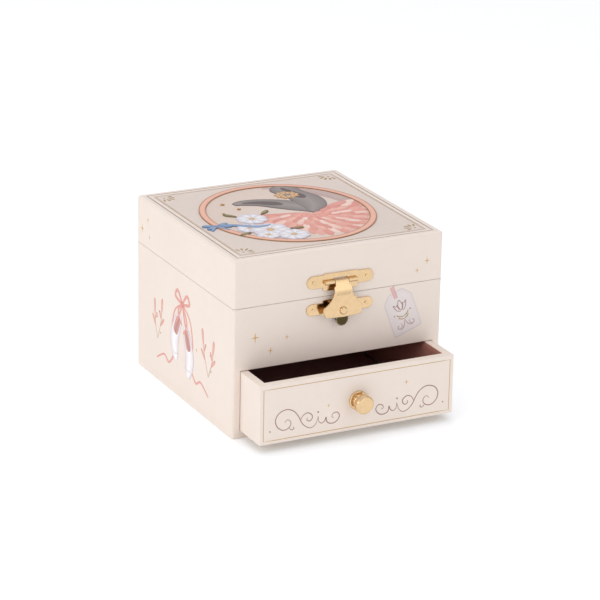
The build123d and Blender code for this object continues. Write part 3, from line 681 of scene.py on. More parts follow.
@dataclass
class Studio:
    """Floor, soft lights and camera."""

    azimuth: float = -27.11
    elevation: float = 19.66
    roll: float = 1.08
    distance: float = 1386.7
    lens: float = 163.1
    target: tuple[float, float, float] = (5.05, 0.0, 46.08)
    shift: Point = (0.0083, -0.0046)
    room_light: float = 0.86
    gap_light: float = 0.06
    gap_turn: float = 0.6

    def camera(self) -> None:
        """Stand the camera where the box is looked at from."""
        a, e, r = (math.radians(v) for v in (self.azimuth, self.elevation, self.roll))
        back = Vector((math.sin(a) * math.cos(e), -math.cos(a) * math.cos(e), math.sin(e)))
        right = Vector((math.cos(a), math.sin(a), 0))
        up = back.cross(right)
        level_right = right * math.cos(r) + up * math.sin(r)
        level_up = up * math.cos(r) - right * math.sin(r)
        data = bpy.data.cameras.new("camera")
        data.lens = self.lens
        data.sensor_width = 36
        data.shift_x, data.shift_y = self.shift
        data.clip_start, data.clip_end = 0.05, 20
        eye = bpy.data.objects.new("camera", data)
        turn = Matrix((level_right, level_up, back)).transposed().to_4x4()
        eye.matrix_world = Matrix.Translation((Vector(self.target) + back * self.distance) * MM) @ turn
        bpy.context.scene.collection.objects.link(eye)
        bpy.context.scene.camera = eye

    def light(self, name: str, place: Sequence[float], size: float, watts: float, colour: Sequence[float]) -> None:
        """Hang one large soft lamp aimed at the box.

        Args:
            name: The lamp's name.
            place: Where it hangs, in metres.
            size: Width of its square face in metres.
            watts: Its strength.
            colour: Its colour.
        """
        data = bpy.data.lights.new(name, "AREA")
        data.size = size
        data.energy = watts
        data.color = colour
        lamp = bpy.data.objects.new(name, data)
        aim = (Vector((0, 0, 0.045)) - Vector(place)).to_track_quat("-Z", "Y")
        lamp.matrix_world = Matrix.Translation(place) @ aim.to_matrix().to_4x4()
        bpy.context.scene.collection.objects.link(lamp)

    def floor(self) -> None:
        """Lay the pale sweep the box stands on."""
        mesh = bpy.data.meshes.new("floor")
        mesh.from_pydata([(-6, -6, 0), (6, -6, 0), (6, 6, 0), (-6, 6, 0)], [], [(0, 1, 2, 3)])
        mesh.materials.append(Palette.FLOOR.made())
        sweep = bpy.data.objects.new("floor", mesh)
        bpy.context.scene.collection.objects.link(sweep)

    def set_up(self) -> None:
        """Build the whole studio."""
        world = bpy.data.worlds.new("soft_room")
        world.use_nodes = True
        sky = world.node_tree.nodes["Background"]
        sky.inputs["Color"].default_value = (0.985, 0.99, 1.0, 1)
        room = Tree(world.node_tree)
        way = room.node("ShaderNodeTexCoord", {}, {}, "Generated")
        x, y, z = (room.node("ShaderNodeSeparateXYZ", {}, {0: way}, axis) for axis in range(3))
        turn = room.node("ShaderNodeMath", {"operation": "ARCTAN2"}, {0: y, 1: x})
        around = room.math("SINE", turn * 5 + self.gap_turn)
        bands = room.node("ShaderNodeMapRange", {"interpolation_type": "SMOOTHSTEP"},
                          {0: around, 1: -0.75, 2: -0.25, 3: self.gap_light, 4: self.room_light})
        crown = room.node("ShaderNodeMapRange", {"interpolation_type": "SMOOTHSTEP"},
                          {0: z, 1: 0.55, 2: 0.75, 3: 0.0, 4: 1.0})
        room.feed(sky.inputs["Strength"], bands * (1 - crown) + crown * self.room_light)
        bpy.context.scene.world = world
        self.floor()
        self.camera()
        self.light("left_softbox", (-0.95, -0.35, 0.5), 0.6, 2.3, (1.0, 0.97, 0.94))
        self.light("front_softbox", (0.35, -1.2, 0.6), 0.7, 1.0, (1.0, 0.98, 0.96))
        self.light("overhead_softbox", (-0.1, 0.3, 1.3), 0.8, 3.0, (0.99, 0.99, 1.0))
        view = bpy.context.scene.view_settings
        view.view_transform = "Standard"
        view.look = "None"


def ring_paper(name: str, outer: float, inner: float, foot: float, thick: float, body: str) -> bpy.types.Object:
    """Cut a square frame of paper lying level.

    Args:
        name: The piece's name.
        outer: Half its outside width.
        inner: Half its opening's width.
        foot: Height of its underside.
        thick: Its thickness.
        body: The body it is glued to.

    Returns:
        The paper frame.
    """
    corners = ((-1, -1), (1, -1), (1, 1), (-1, 1))
    points = [(x * half, y * half, z) for z in (foot, foot + thick) for half in (outer, inner) for x, y in corners]
    faces = []
    for here in range(4):
        after = (here + 1) % 4
        faces.append((8 + here, 8 + after, 12 + after, 12 + here))
        faces.append((after, here, 4 + here, 4 + after))
        faces.append((here, after, 8 + after, 8 + here))
        faces.append((4 + after, 4 + here, 12 + here, 12 + after))
    return build(name, points, faces, Palette.RIM, body, False)


@dataclass
class Felt:
    """A felt lining cut from thin panels, each a slightly uneven closed sheet with rolled edges."""

    name: str
    body: str
    slot: str
    finish: Palette
    thick: float = 0.4
    cell: float = 2.4
    nap: float = 0.05
    points: list = field(default_factory=list)
    faces: list = field(default_factory=list)
    area: float = 0.0

    def panel(self, corner: Sequence[float], across: Sequence[float], along: Sequence[float],
              hole: tuple[float, float, float] | None = None) -> None:
        """Cut one panel whose pile faces the side across x along points to.

        Args:
            corner: Its first corner, on the board it is glued to.
            across: Its width as a vector.
            along: Its length as a vector.
            hole: Centre (across and along from the corner) and radius of a round hole.
        """
        u, v, start = Vector(across), Vector(along), Vector(corner)
        up = u.cross(v).normalized()
        wide, long = u.length, v.length
        u.normalize()
        v.normalize()
        columns, rows = max(3, round(wide / self.cell)), max(3, round(long / self.cell))
        if hole:
            grid = self._around(wide, long, hole, columns)
        else:
            grid = [[(wide * i / columns, long * j / rows) for i in range(columns + 1)] for j in range(rows + 1)]
        first, span, loop = len(self.points), len(grid[0]), bool(hole)
        for back in (False, True):
            for row in grid:
                for a, b in row:
                    spot = start + u * a + v * b
                    edge = min(a, b, wide - a, long - b)
                    if hole:
                        edge = min(edge, math.hypot(a - hole[0], b - hole[1]) - hole[2])
                    rise = self.thick - self.nap * (0.5 + 0.5 * noise.noise(spot * 0.19)) - 0.12 * math.exp(-edge * 2.2)
                    self.points.append(spot + up * (0.01 if back else rise))
        layer = len(grid) * span

        def quad(a: int, b: int, c: int, d: int) -> None:
            """Store one face of four corners."""
            self.faces.append((first + a, first + b, first + c, first + d))

        for j in range(len(grid) - 1):
            for i in range(span if loop else span - 1):
                k = (i + 1) % span
                a, b, c, d = j * span + i, j * span + k, (j + 1) * span + k, (j + 1) * span + i
                quad(a, b, c, d)
                quad(layer + d, layer + c, layer + b, layer + a)
        rim = list(range(span))
        if not loop:
            rim += [j * span + span - 1 for j in range(1, len(grid))]
        inner = (len(grid) - 1) * span
        if loop:
            for i in range(span):
                k = (i + 1) % span
                quad(k, i, layer + i, layer + k)
                quad(inner + i, inner + k, layer + inner + k, layer + inner + i)
        else:
            rim += [inner + i for i in range(span - 2, -1, -1)] + [j * span for j in range(len(grid) - 2, 0, -1)]
            for a, b in zip(rim, rim[1:] + rim[:1]):
                quad(b, a, layer + a, layer + b)
        self.area += wide * long - (math.pi * hole[2] ** 2 if hole else 0)

    def _around(self, wide: float, long: float, hole: tuple[float, float, float], steps: int) -> list[list[Point]]:
        """Rings of points that run from a panel's outline in to its round hole."""
        outline = ([(wide * i / steps, 0.0) for i in range(steps)] + [(wide, long * i / steps) for i in range(steps)]
                   + [(wide - wide * i / steps, long) for i in range(steps)]
                   + [(0.0, long - long * i / steps) for i in range(steps)])
        rings = []
        for level in range(13):
            t = level / 12
            ring = []
            for a, b in outline:
                angle = math.atan2(b - hole[1], a - hole[0])
                inner = (hole[0] + hole[2] * math.cos(angle), hole[1] + hole[2] * math.sin(angle))
                ring.append((a + (inner[0] - a) * t, b + (inner[1] - b) * t))
            rings.append(ring)
        return rings

    def made(self, flat: tuple[float, float], rests_on: Sequence[str], node: str) -> bpy.types.Object:
        """Turn the panels into one lining that stands for a piece of the frame.

        Args:
            flat: Not used.
            rests_on: Not used.
            node: The piece of the frame it stands for.

        Returns:
            The lining.
        """
        lining = build(self.name, self.points, self.faces, self.finish, self.body)
        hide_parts(node)
        self.area * MM * MM
        return lining


@dataclass
class Cabinet:
    """The paper-covered carcass, its linings, print and fittings."""

    half: float = 57.5
    inner: float = 53.5
    body_top: float = 67.15
    tray_floor: float = 38.2
    tray_top: float = 66.8
    house_half: float = 32.0
    house_front: float = -13.0
    deck_top: float = 62.0
    gold: Colour = tint("D9AC62")

    def fittings(self) -> None:
        """Dress the boards and fittings carried over from the frame."""
        dress(("base_board", "left_wall", "right_wall", "back_wall", "front_panel", "drawer_shelf",
               "movement_walls", "deck"), Palette.BOARD)
        dress(("body_paper",), Palette.CREAM)
        dress(("body_hinge_leaves", "hinge_pins", "cabinet_nails", "catch_plate"), Palette.BRASS)

    def linings(self) -> None:
        """Line the tray's floor and walls and cover the movement's housing."""
        w, low, high, house, front = self.inner, self.tray_floor, self.tray_top, self.house_half, self.house_front
        tray = Felt("tray_felt", "cabinet", "felt", Palette.FELT)
        tray.panel((-w, -w, low), (2 * w, 0, 0), (0, front + w - 0.4, 0))
        for side in (-1, 1):
            near = -w if side < 0 else house + 0.4
            tray.panel((near, front - 0.4, low), (w - house - 0.4, 0, 0), (0, w - front + 0.4, 0))
        tall = high - low - 0.4
        tray.panel((w, -w, low + 0.4), (-2 * w, 0, 0), (0, 0, tall))
        tray.panel((-w, -w + 0.4, low + 0.4), (0, 2 * w - 0.8, 0), (0, 0, tall))
        tray.panel((w, w - 0.4, low + 0.4), (0, -2 * w + 0.8, 0), (0, 0, tall))
        for start in (-w + 0.4, house + 0.4):
            tray.panel((start, w, low + 0.4), (w - house - 0.8, 0, 0), (0, 0, tall))
        tray.made((0.22, 0.16), ("body_paper", "drawer_shelf"), "tray_lining")
        cover = Felt("deck_felt", "cabinet", "felt", Palette.FELT)
        deep, tall = w - front, self.deck_top - low
        cover.panel((-house - 0.4, front - 0.4, self.deck_top), (2 * house + 0.8, 0, 0), (0, deep + 0.4, 0),
                    (house + 0.4, 1.0 - front + 0.4, 2.1))
        cover.panel((-house, front, low), (2 * house, 0, 0), (0, 0, tall))
        cover.panel((-house, w, low), (0, -deep, 0), (0, 0, tall))
        cover.panel((house, front, low), (0, deep, 0), (0, 0, tall))
        cover.made((0.12, 0.1), ("deck", "movement_walls"), "deck_lining")

    def rim(self) -> None:
        """Turn the wrap paper over the top edge of the walls."""
        ring_paper("body_rim_paper", self.half - 0.25, self.inner + 0.02, self.body_top + 0.003, 0.05, "cabinet")

    def front(self) -> None:
        """Print the stars and the hanging tag on the front."""
        art = Print("front_print", lambda u, v, h: (u, -self.half - h, v))
        for centre, size in (((-45.6, 51.3), 2.9), ((-28.4, 49.3), 1.7), ((-37.2, 43.5), 2.1)):
            art.star(centre, size, self.gold)
        self.tag(art)
        art.finished(Palette.INK, "cabinet")

    def tag(self, art: Print) -> None:
        """Print a lilac gift tag on a ribbon, with a small tulip and scrolls."""
        c, s = math.cos(math.radians(20.3)), math.sin(math.radians(20.3))

        def at(u: float, v: float) -> Point:
            """Turn a point about the tag's middle."""
            return (35.4 + u * c - v * s, 53.0 + u * s + v * c)

        outline = [(-7.3, -11.2), (7.2, -11.1), (7.6, -10.6), (7.6, 6.4), (7.2, 7.2), (4.2, 11.0), (3.4, 11.5),
                   (-3.6, 11.2), (-4.3, 10.8), (-7.4, 7.9), (-7.7, 7.2), (-7.7, -10.7)]
        art.shape([at(u * 1.06, v * 1.05 - 0.2) for u, v in outline], tint("E4D8D3"), tint("E4D8D3"), at(0, 0))
        art.shape([at(u * 1.02, v * 1.02) for u, v in outline], tint("D5C7C8"), tint("D5C7C8"), at(0, 0))
        art.shape([at(u, v) for u, v in outline], tint("EADFDD"), tint("F1E8E5"), at(0, 0))
        art.brush([at(-0.8, 8.2), at(-1.0, 11.5), at(-1.1, 15.0)], (2.1, 2.2, 2.3), tint("DDAFAE"), tint("E7C0BD"))
        rose, tan = tint("B08A8B"), tint("B99C6A")
        for side in (-1, 1):
            for line, width, ink in (
                    ([(0.5, 0.4), (2.6, 1.8), (3.7, 5.0), (2.4, 3.9), (1.5, 4.8)], 0.42, rose),
                    ([(1.5, 4.8), (1.5, 3.0), (0.5, 0.9)], 0.36, rose),
                    ([(3.5, -0.6), (2.2, -2.0), (0, -2.7)], 0.55, tan),
                    ([(3.0, -2.4), (1.8, -3.5), (0, -4.1)], 0.55, tan),
                    (spiral((3.9, -7.2), 0.3, 1.9, 120, -230), 0.36, rose),
                    ([(0.3, -4.6), (0.7, -6.8), (2.2, -8.6), (3.6, -9.1)], 0.36, rose)):
                art.stroke([at(side * u, v) for u, v in curve_through(line, 4)], width, ink)
            art.dot(at(side * 4.6, -0.6), 0.35, tint("8E6A6E"))
        bud = curve_through([(0, 0.8), (-1.2, 3.6), (0, 6.6), (1.2, 3.6), (0, 0.8)])
        art.stroke([at(u, v) for u, v in bud], 0.4, rose)

    def left(self) -> None:
        """Print a star, sprigs and a pair of hanging slippers on the left side."""
        art = Print("left_print", lambda u, v, h: (-self.half - h, u, v), False)
        art.star((-15.9, 32.4), 1.6, self.gold)
        for foot, tips in (((31.3, 22.7), ((34.9, 39.4), (25.9, 43.0))),
                           ((-29.7, 22.8), ((-23.0, 43.6), (-35.5, 39.9)))):
            self.sprig(art, foot, tips)
        self.slippers(art)
        art.finished(Palette.INK, "cabinet")

    def sprig(self, art: Print, foot: Point, tips: Sequence[Point]) -> None:
        """Print a two-stemmed pink sprig with paired leaves."""
        for tip in tips:
            lean = 1 if tip[0] > foot[0] else -1
            bend = ((foot[0] + tip[0]) / 2 + lean * 1.2, (foot[1] + tip[1]) / 2)
            stem = curve_through([foot, bend, tip])
            art.stroke(stem, 0.45, tint("C9A387"), 0.6)
            run = math.degrees(math.atan2(tip[1] - stem[-5][1], tip[0] - stem[-5][0]))
            art.petal(stem[-6], run, 9.0, 2.6, tint("DE9C90"), tint("F0C4B8"))
            art.petal(stem[6], run - lean * 34, 7.0, 2.0, tint("DE9C90"), tint("EDBBAF"))
            art.petal(stem[9], run + lean * 32, 5.0, 1.6, tint("D98F84"), tint("EDBBAF"))
            art.dot((tip[0] - lean * 3.4, tip[1] - 5.0), 0.45, tint("B9936A"))
        art.dot((foot[0] - 3.2, foot[1] + 4.0), 0.45, tint("B9936A"))

    def slippers(self, art: Print) -> None:
        """Print a pair of white dancing slippers hung by a pink ribbon."""
        knot = (1.2, 51.0)
        white, shade, ribbon, satin = tint("FFFBFA"), tint("CFC4CC"), tint("DE8F86"), tint("EBB3AA")
        for side in (-1, 1):
            tail = [knot, (1.2 + side * 9.0, 45.0), (1.2 + side * 12.5, 33.0), (1.2 + side * 10.0, 22.0),
                    (1.2 + side * 16.0, 14.5), (1.2 + side * 22.0, 16.8), (1.2 + side * 31.0, 12.2)]
            art.stroke(curve_through(tail), 1.1, ribbon, 0.6, False, satin)
        for side, foot, heel in ((1, (8.6, 19.0), (5.0, 44.5)), (-1, (-5.5, 14.5), (-3.0, 40.5))):
            body = [foot, (foot[0] + side * 1.0, foot[1] + 3), (foot[0] + side * 2.2, foot[1] + 10),
                    ((foot[0] + heel[0]) / 2 + side * 2.2, (foot[1] + heel[1]) / 2 + 3),
                    (heel[0] + side * 0.6, heel[1] - 3), heel]
            art.brush(body, (4.4, 7.4, 9.8, 9.4, 7.6, 3.8), shade, shade)
            art.brush(body, (3.6, 6.7, 9.1, 8.7, 6.9, 3.0), tint("E8DEE2"), white)
            mouth = [(body[2][0] * 0.5 + body[3][0] * 0.5, body[2][1] + 4.0), body[3], body[4],
                     (heel[0], heel[1] - 1.4)]
            art.brush(mouth, (2.6, 5.4, 5.0, 2.2), tint("D7A69F"), tint("C48C86"))
            art.stroke(curve_through([(foot[0] - 2.4, foot[1] + 4.2), (foot[0] + side, foot[1] + 3.0),
                                      (foot[0] + 3.4, foot[1] + 4.2)]), 0.4, shade)
            for cross in (-1, 1):
                art.stroke(curve_through([(heel[0] - cross * 3.2, heel[1] - 5), (heel[0] + cross * 1.2, heel[1] + 1.6),
                                          knot]), 1.2, ribbon, 0.7, False, satin)
        for side in (-1, 1):
            loop = curve_through([knot, (knot[0] + side * 5.4, 56.8), (knot[0] + side * 8.2, 53.0), (knot[0], 50.8)])
            art.stroke(loop, 1.5, ribbon, 0.7, False, satin)
        art.dot(knot, 1.4, tint("CB7A70"), core=satin)

    def make(self) -> None:
        """Build every part of the cabinet."""
        self.fittings()
        self.linings()
        self.rim()
        self.front()
        self.left()


@dataclass
class Lid:
    """The hinged lid with its bordered panel, medallion, mirror and clasp."""

    half: float = 57.5
    inner: float = 53.5
    top: float = 92.0
    bottom: float = 67.45
    ceiling: float = 88.0
    ring: Point = (44.0, 47.0)
    flap_front: float = -62.0
    plate_front: float = -58.1
    gold: Colour = tint("B98F52")
    fan: Colour = tint("A58A58")

    def fittings(self) -> None:
        """Dress the lid's boards, mirror and brass."""
        dress(("lid_top_board", "lid_front_rail", "lid_back_rail", "lid_left_rail", "lid_right_rail"), Palette.BOARD)
        dress(("lid_paper",), Palette.CREAM)
        dress(("lid_mirror",), Palette.MIRROR)
        dress(("lid_hinge_leaves", "lid_nails", "hasp_plate", "hasp_pin", "hasp_flap", "hasp_rivet"), Palette.BRASS)
        # The thumb tab is painted dark: painted shade and a painted dark reflection.
        dress(("thumb_tab",), Palette.PAINTED_SHADE_BRASS)

    def lining(self) -> None:
        """Line the lid's ceiling and four sides."""
        w, low, high = self.inner, self.bottom + 0.3, self.ceiling - 0.4
        felt = Felt("lid_felt", "lid", "felt", Palette.FELT)
        felt.panel((-w, w, self.ceiling), (2 * w, 0, 0), (0, -2 * w, 0))
        felt.panel((w, -w, low), (-2 * w, 0, 0), (0, 0, high - low))
        felt.panel((-w, w, low), (2 * w, 0, 0), (0, 0, high - low))
        felt.panel((-w, -w + 0.4, low), (0, 2 * w - 0.8, 0), (0, 0, high - low))
        felt.panel((w, w - 0.4, low), (0, -2 * w + 0.8, 0), (0, 0, high - low))
        felt.made((0.15, 0.15), ("lid_paper", "lid_top_board"), "lid_lining")

    def rim(self) -> None:
        """Turn the wrap paper over the lid's lower edge."""
        ring_paper("lid_rim_paper", self.half - 0.25, self.inner + 0.02, self.bottom - 0.053, 0.05, "lid")

    def clasp(self) -> None:
        """Print short slanting dark brass strokes across the flap as painted shade of cut grooves, print dark brass
        dots round the nail heads as painted shadow, and bead the thumb tab's rim.
        """
        # The strokes' dark brass is painted shade standing for cut grooves.
        art = Print("flap_painted_groove_shade", lambda u, v, h: (u, self.flap_front - h, v))
        for number in range(6):
            u = -3.1 + 1.24 * number
            art.stroke([(u - 0.5, 68.1), (u, 68.9), (u + 0.55, 69.8)], 0.17, self.gold, 0.5)
        art.finished(Palette.PAINTED_SHADE_BRASS, "hasp", "plated_brass")
        # Dark brass dots round the nail heads are painted shadow.
        nail_reach, nail_shadow_radius = 14.6, 0.46
        for name, body, height in (("plate_nail_painted_shadow", "lid", 75.2), ("catch_nail_painted_shadow", "cabinet", 61.1)):
            rings = Print(name, lambda u, v, h: (u, self.plate_front - h, v))
            for side in (-1, 1):
                rings.dot((side * nail_reach, height), nail_shadow_radius, self.gold)
            rings.finished(Palette.PAINTED_SHADE_BRASS, body, "plated_brass")
        works = Works("beaded_rim")
        count, radius, bead = works.size("Beads", 26), works.size("Radius", 3.15 * MM), works.size("Bead", 0.34 * MM)
        circle = works.node("GeometryNodeMeshCircle", {}, {"Vertices": count, "Radius": radius})
        ball = works.node("GeometryNodeMeshIcoSphere", {}, {"Radius": bead, "Subdivisions": 2})
        beads = works.node("GeometryNodeInstanceOnPoints", {}, {"Points": circle, "Instance": ball})
        placed = works.node("GeometryNodeTransform", {}, {
            "Geometry": beads, "Translation": (0, -61.0 * MM, 55.4 * MM), "Rotation": (math.pi / 2, 0, 0)})
        works.finished(placed, Palette.PEARL, "tab_beads", "tab", "dark_brass")

    def oval(self, grow: float, steps: int = 96) -> list[Point]:
        """Points of the medallion's oval, grown or shrunk by a distance."""
        a, b = self.ring[0] + grow, self.ring[1] + grow
        return [(a * math.cos(2 * math.pi * i / steps), b * math.sin(2 * math.pi * i / steps)) for i in range(steps)]

    def room(self, foot: Point, angle: float) -> float:
        """Distance from a point to the inside of the medallion's ring along a direction in degrees."""
        a, b = self.ring[0] - 3.0, self.ring[1] - 3.0
        c, s = math.cos(math.radians(angle)), math.sin(math.radians(angle))
        p = (c / a) ** 2 + (s / b) ** 2
        q = foot[0] * c / a ** 2 + foot[1] * s / b ** 2
        r = (foot[0] / a) ** 2 + (foot[1] / b) ** 2 - 1
        return (-q + math.sqrt(max(0.0, q * q - p * r))) / p

    def borders(self, art: Print) -> None:
        """Print the panel, its two border lines and the medallion's field."""
        def square(half: float) -> list[Point]:
            """Outline of a square, many points to a side."""
            side = [-half + 2 * half * i / 12 for i in range(12)]
            return ([(s, -half) for s in side] + [(half, s) for s in side]
                    + [(-s, half) for s in side] + [(-half, -s) for s in side])

        art.shape(square(55.9), tint("E9DDD5"), tint("E9DDD5"), (0, 0))
        art.shape(square(50.6), tint("DFD1C9"), tint("DCCCC3"), (0, 0))
        for half, width, colour in ((53.6, 0.6, "9C7B60"), (51.0, 0.42, "A98559"), (50.3, 0.3, "A9896A")):
            art.stroke(square(half), width, tint(colour), 1.0, True)
        art.shape(self.oval(0), tint("DCC9BE"), tint("E2D2C8"), (0, 0))

    def frame_ring(self, art: Print) -> None:
        """Print the medallion's pink ring with its two brown outlines."""
        art.stroke(self.oval(-1.5), 3.0, tint("E6AD9A"), 1.0, True, tint("EDBBA9"))
        art.stroke(self.oval(0.05), 0.42, tint("A8805F"), 1.0, True)
        art.stroke(self.oval(-3.1), 0.38, tint("A8805F"), 1.0, True)

    def slippers(self, art: Print) -> None:
        """Print a pair of grey satin slippers with a posy of tan flowers between them."""
        edge, satin, dark = tint("7A706F"), tint("A09795"), tint("6E6262")
        for path, widths, mouth in (
                (((-19.5, 22.0), (-14.0, 22.5), (-6.0, 20.0), (3.0, 13.5), (11.0, 5.0), (14.5, -4.5)),
                 (3.0, 7.0, 10.0, 13.5, 12.5, 3.6), ((-15.0, 22.0), (-8.0, 20.2), (0.0, 15.4), (3.5, 12.5))),
                (((15.0, 41.0), (15.0, 36.0), (17.0, 27.0), (19.0, 17.0), (17.5, 6.0), (12.5, -3.0)),
                 (6.0, 14.5, 13.0, 15.5, 13.5, 3.6), ((15.0, 38.0), (16.0, 31.0), (18.0, 22.0), (18.6, 18.0)))):
            art.brush(path, [w + 0.7 for w in widths], edge, edge)
            art.brush(path, widths, tint("8B8281"), satin)
            art.brush(mouth, (1.6, 4.6, 6.0, 1.8), dark, tint("6E6261"))
        for number in range(9):
            angle = 40 * number
            spot = (12.5 + 4.2 * math.cos(math.radians(angle)), 26.0 + 3.4 * math.sin(math.radians(angle)))
            for turn in range(0, 360, 72):
                art.petal(spot, turn + angle, 2.5, 1.9, tint("C79A72"), tint("E8CDA8"))
            art.dot(spot, 0.45, tint("9A6E4A"))

    def skirt(self, art: Print) -> None:
        """Print a pink ruffled skirt that fills the ring's lower right."""
        waist = (12.0, -6.0)
        shades = ("E39C93", "EDB3A7", "E8A59A", "F4CFC3", "E6A095", "F0BDB0", "EAAA9E", "F6DACF")
        rows = ((35.0, 30, 6.4), (27.0, 25, 6.0), (20.0, 21, 5.4), (13.0, 15, 4.6))
        for layer, (reach, count, width) in enumerate(rows):
            for number in range(count):
                angle = 168 + 222 * (number + 0.5 * (layer % 2)) / count
                code = shades[(number * 3 + layer * 2) % len(shades)]
                length = min(reach * (1 + 0.05 * math.sin(2.3 * number + layer)), self.room(waist, angle))
                art.petal(waist, angle, length, width, tint(code, 0.9), tint(code, 1.04), 0.4)
        for number in range(7):
            angle = math.radians(205 + 22 * number)
            spot = (waist[0] + 6.5 * math.cos(angle), waist[1] + 5.2 * math.sin(angle))
            art.dot(spot, 2.6, tint("DD9389"), core=tint("F0BBAE"))

    def blossoms(self, art: Print) -> None:
        """Print white blossoms and the blue bow that crosses the ring on the left."""
        for centre, size in (((-21.5, -3.0), 8.0), ((-29.0, -16.0), 6.5), ((-20.5, -22.0), 10.0), ((-13.0, -33.0), 8.0),
                             ((-25.0, -29.0), 6.0)):
            for turn in range(0, 360, 45):
                art.petal(centre, turn + size * 7, min(size, self.room(centre, turn + size * 7)), size * 0.8,
                          tint("CFCBD6"), tint("F6F3F5"), 0.2)
            art.dot(centre, size * 0.2, tint("C9A070"), core=tint("E4C690"))
        for foot, angle in (((-14, 2), 38), ((-27, 3), 130), ((-11, -24), -6), ((-31, -22), 200)):
            art.petal(foot, angle, 7.5, 2.6, tint("7D7250"), tint("A39A76"))
        edge, silk = tint("6D86AB"), tint("9CB2D0")
        art.brush(((-42.5, -6.8), (-36.0, -7.6), (-30.0, -11.8), (-24.0, -15.6), (-17.0, -15.2)),
                  (1.4, 2.0, 2.6, 2.8, 1.2), edge, silk)
        for angle, length in ((160, 7.5), (205, 7.0), (20, 7.0), (-22, 7.5)):
            art.petal((-42.5, -6.8), angle, length, 3.2, edge, silk)
        for end in ((-47.5, -12.5), (-39.0, -14.5)):
            art.brush(((-42.5, -6.8), ((-42.5 + end[0]) / 2 - 0.8, -10.0), end), (1.2, 1.7, 1.0), edge, silk)
        art.dot((-42.5, -6.8), 1.3, tint("5F789E"), core=silk)
        for centre, size in (((-25, 24), 1.5), ((-20.5, 14), 1.4), ((-31, 10), 0.9)):
            art.star(centre, size, self.gold)

    def medallion(self, art: Print) -> None:
        """Print everything inside the ring, the ring itself and what crosses it."""
        art.brush(((6, 41.5), (19, 38), (30, 27.5), (36, 12), (38.2, -4), (36.5, -17)), (2, 8, 11.5, 9.5, 5.4, 1.6),
                  tint("BFA6A2"), tint("CDB8B2"))
        for shift in (-2.6, 0.4, 3.0):
            fold = [(19 + shift, 38 - abs(shift)), (29.5 + shift, 27), (35.5 + shift * 0.8, 12), (38 + shift * 0.4, -5)]
            art.stroke(curve_through(fold), 0.5, tint("A98F8E"))
        self.skirt(art)
        self.slippers(art)
        self.frame_ring(art)
        self.blossoms(art)

    def corners(self, art: Print) -> None:
        """Print a fan of small gold leaves in each corner of the panel."""
        for x in (-1, 1):
            for y in (-1, 1):
                foot = (x * 47.2, y * 46.8)
                lean = math.degrees(math.atan2(-y, -x))
                for step, length in ((-64, 3.2), (-32, 3.4), (0, 3.7), (32, 3.4), (64, 3.2)):
                    turn = math.radians(lean + step)
                    start = (foot[0] + 2.2 * math.cos(turn), foot[1] + 2.2 * math.sin(turn))
                    art.petal(start, lean + step, length, 1.25, self.fan, self.fan)
                art.dot(foot, 0.55, self.fan)

    def printed(self) -> None:
        """Print the top, the lid's front stars and the stars on its left side."""
        art = Print("lid_top_print", lambda u, v, h: (u, v, self.top + h))
        self.borders(art)
        self.corners(art)
        self.medallion(art)
        art.finished(Palette.INK, "lid")
        gold = tint("D9AC62")
        front = Print("lid_front_print", lambda u, v, h: (u, -self.half - h, v))
        front.star((48.7, 77.9), 2.1, gold)
        front.star((43.2, 73.5), 1.6, gold)
        front.finished(Palette.INK, "lid")
        left = Print("lid_left_print", lambda u, v, h: (-self.half - h, u, v), False)
        for centre, size in (((43.7, 82.5), 1.9), ((50.9, 76.1), 2.7), ((41.8, 73.9), 1.6)):
            left.star(centre, size, gold)
        left.finished(Palette.INK, "lid")

    def make(self) -> None:
        """Build every part of the lid."""
        self.fittings()
        self.lining()
        self.rim()
        self.clasp()
        self.printed()


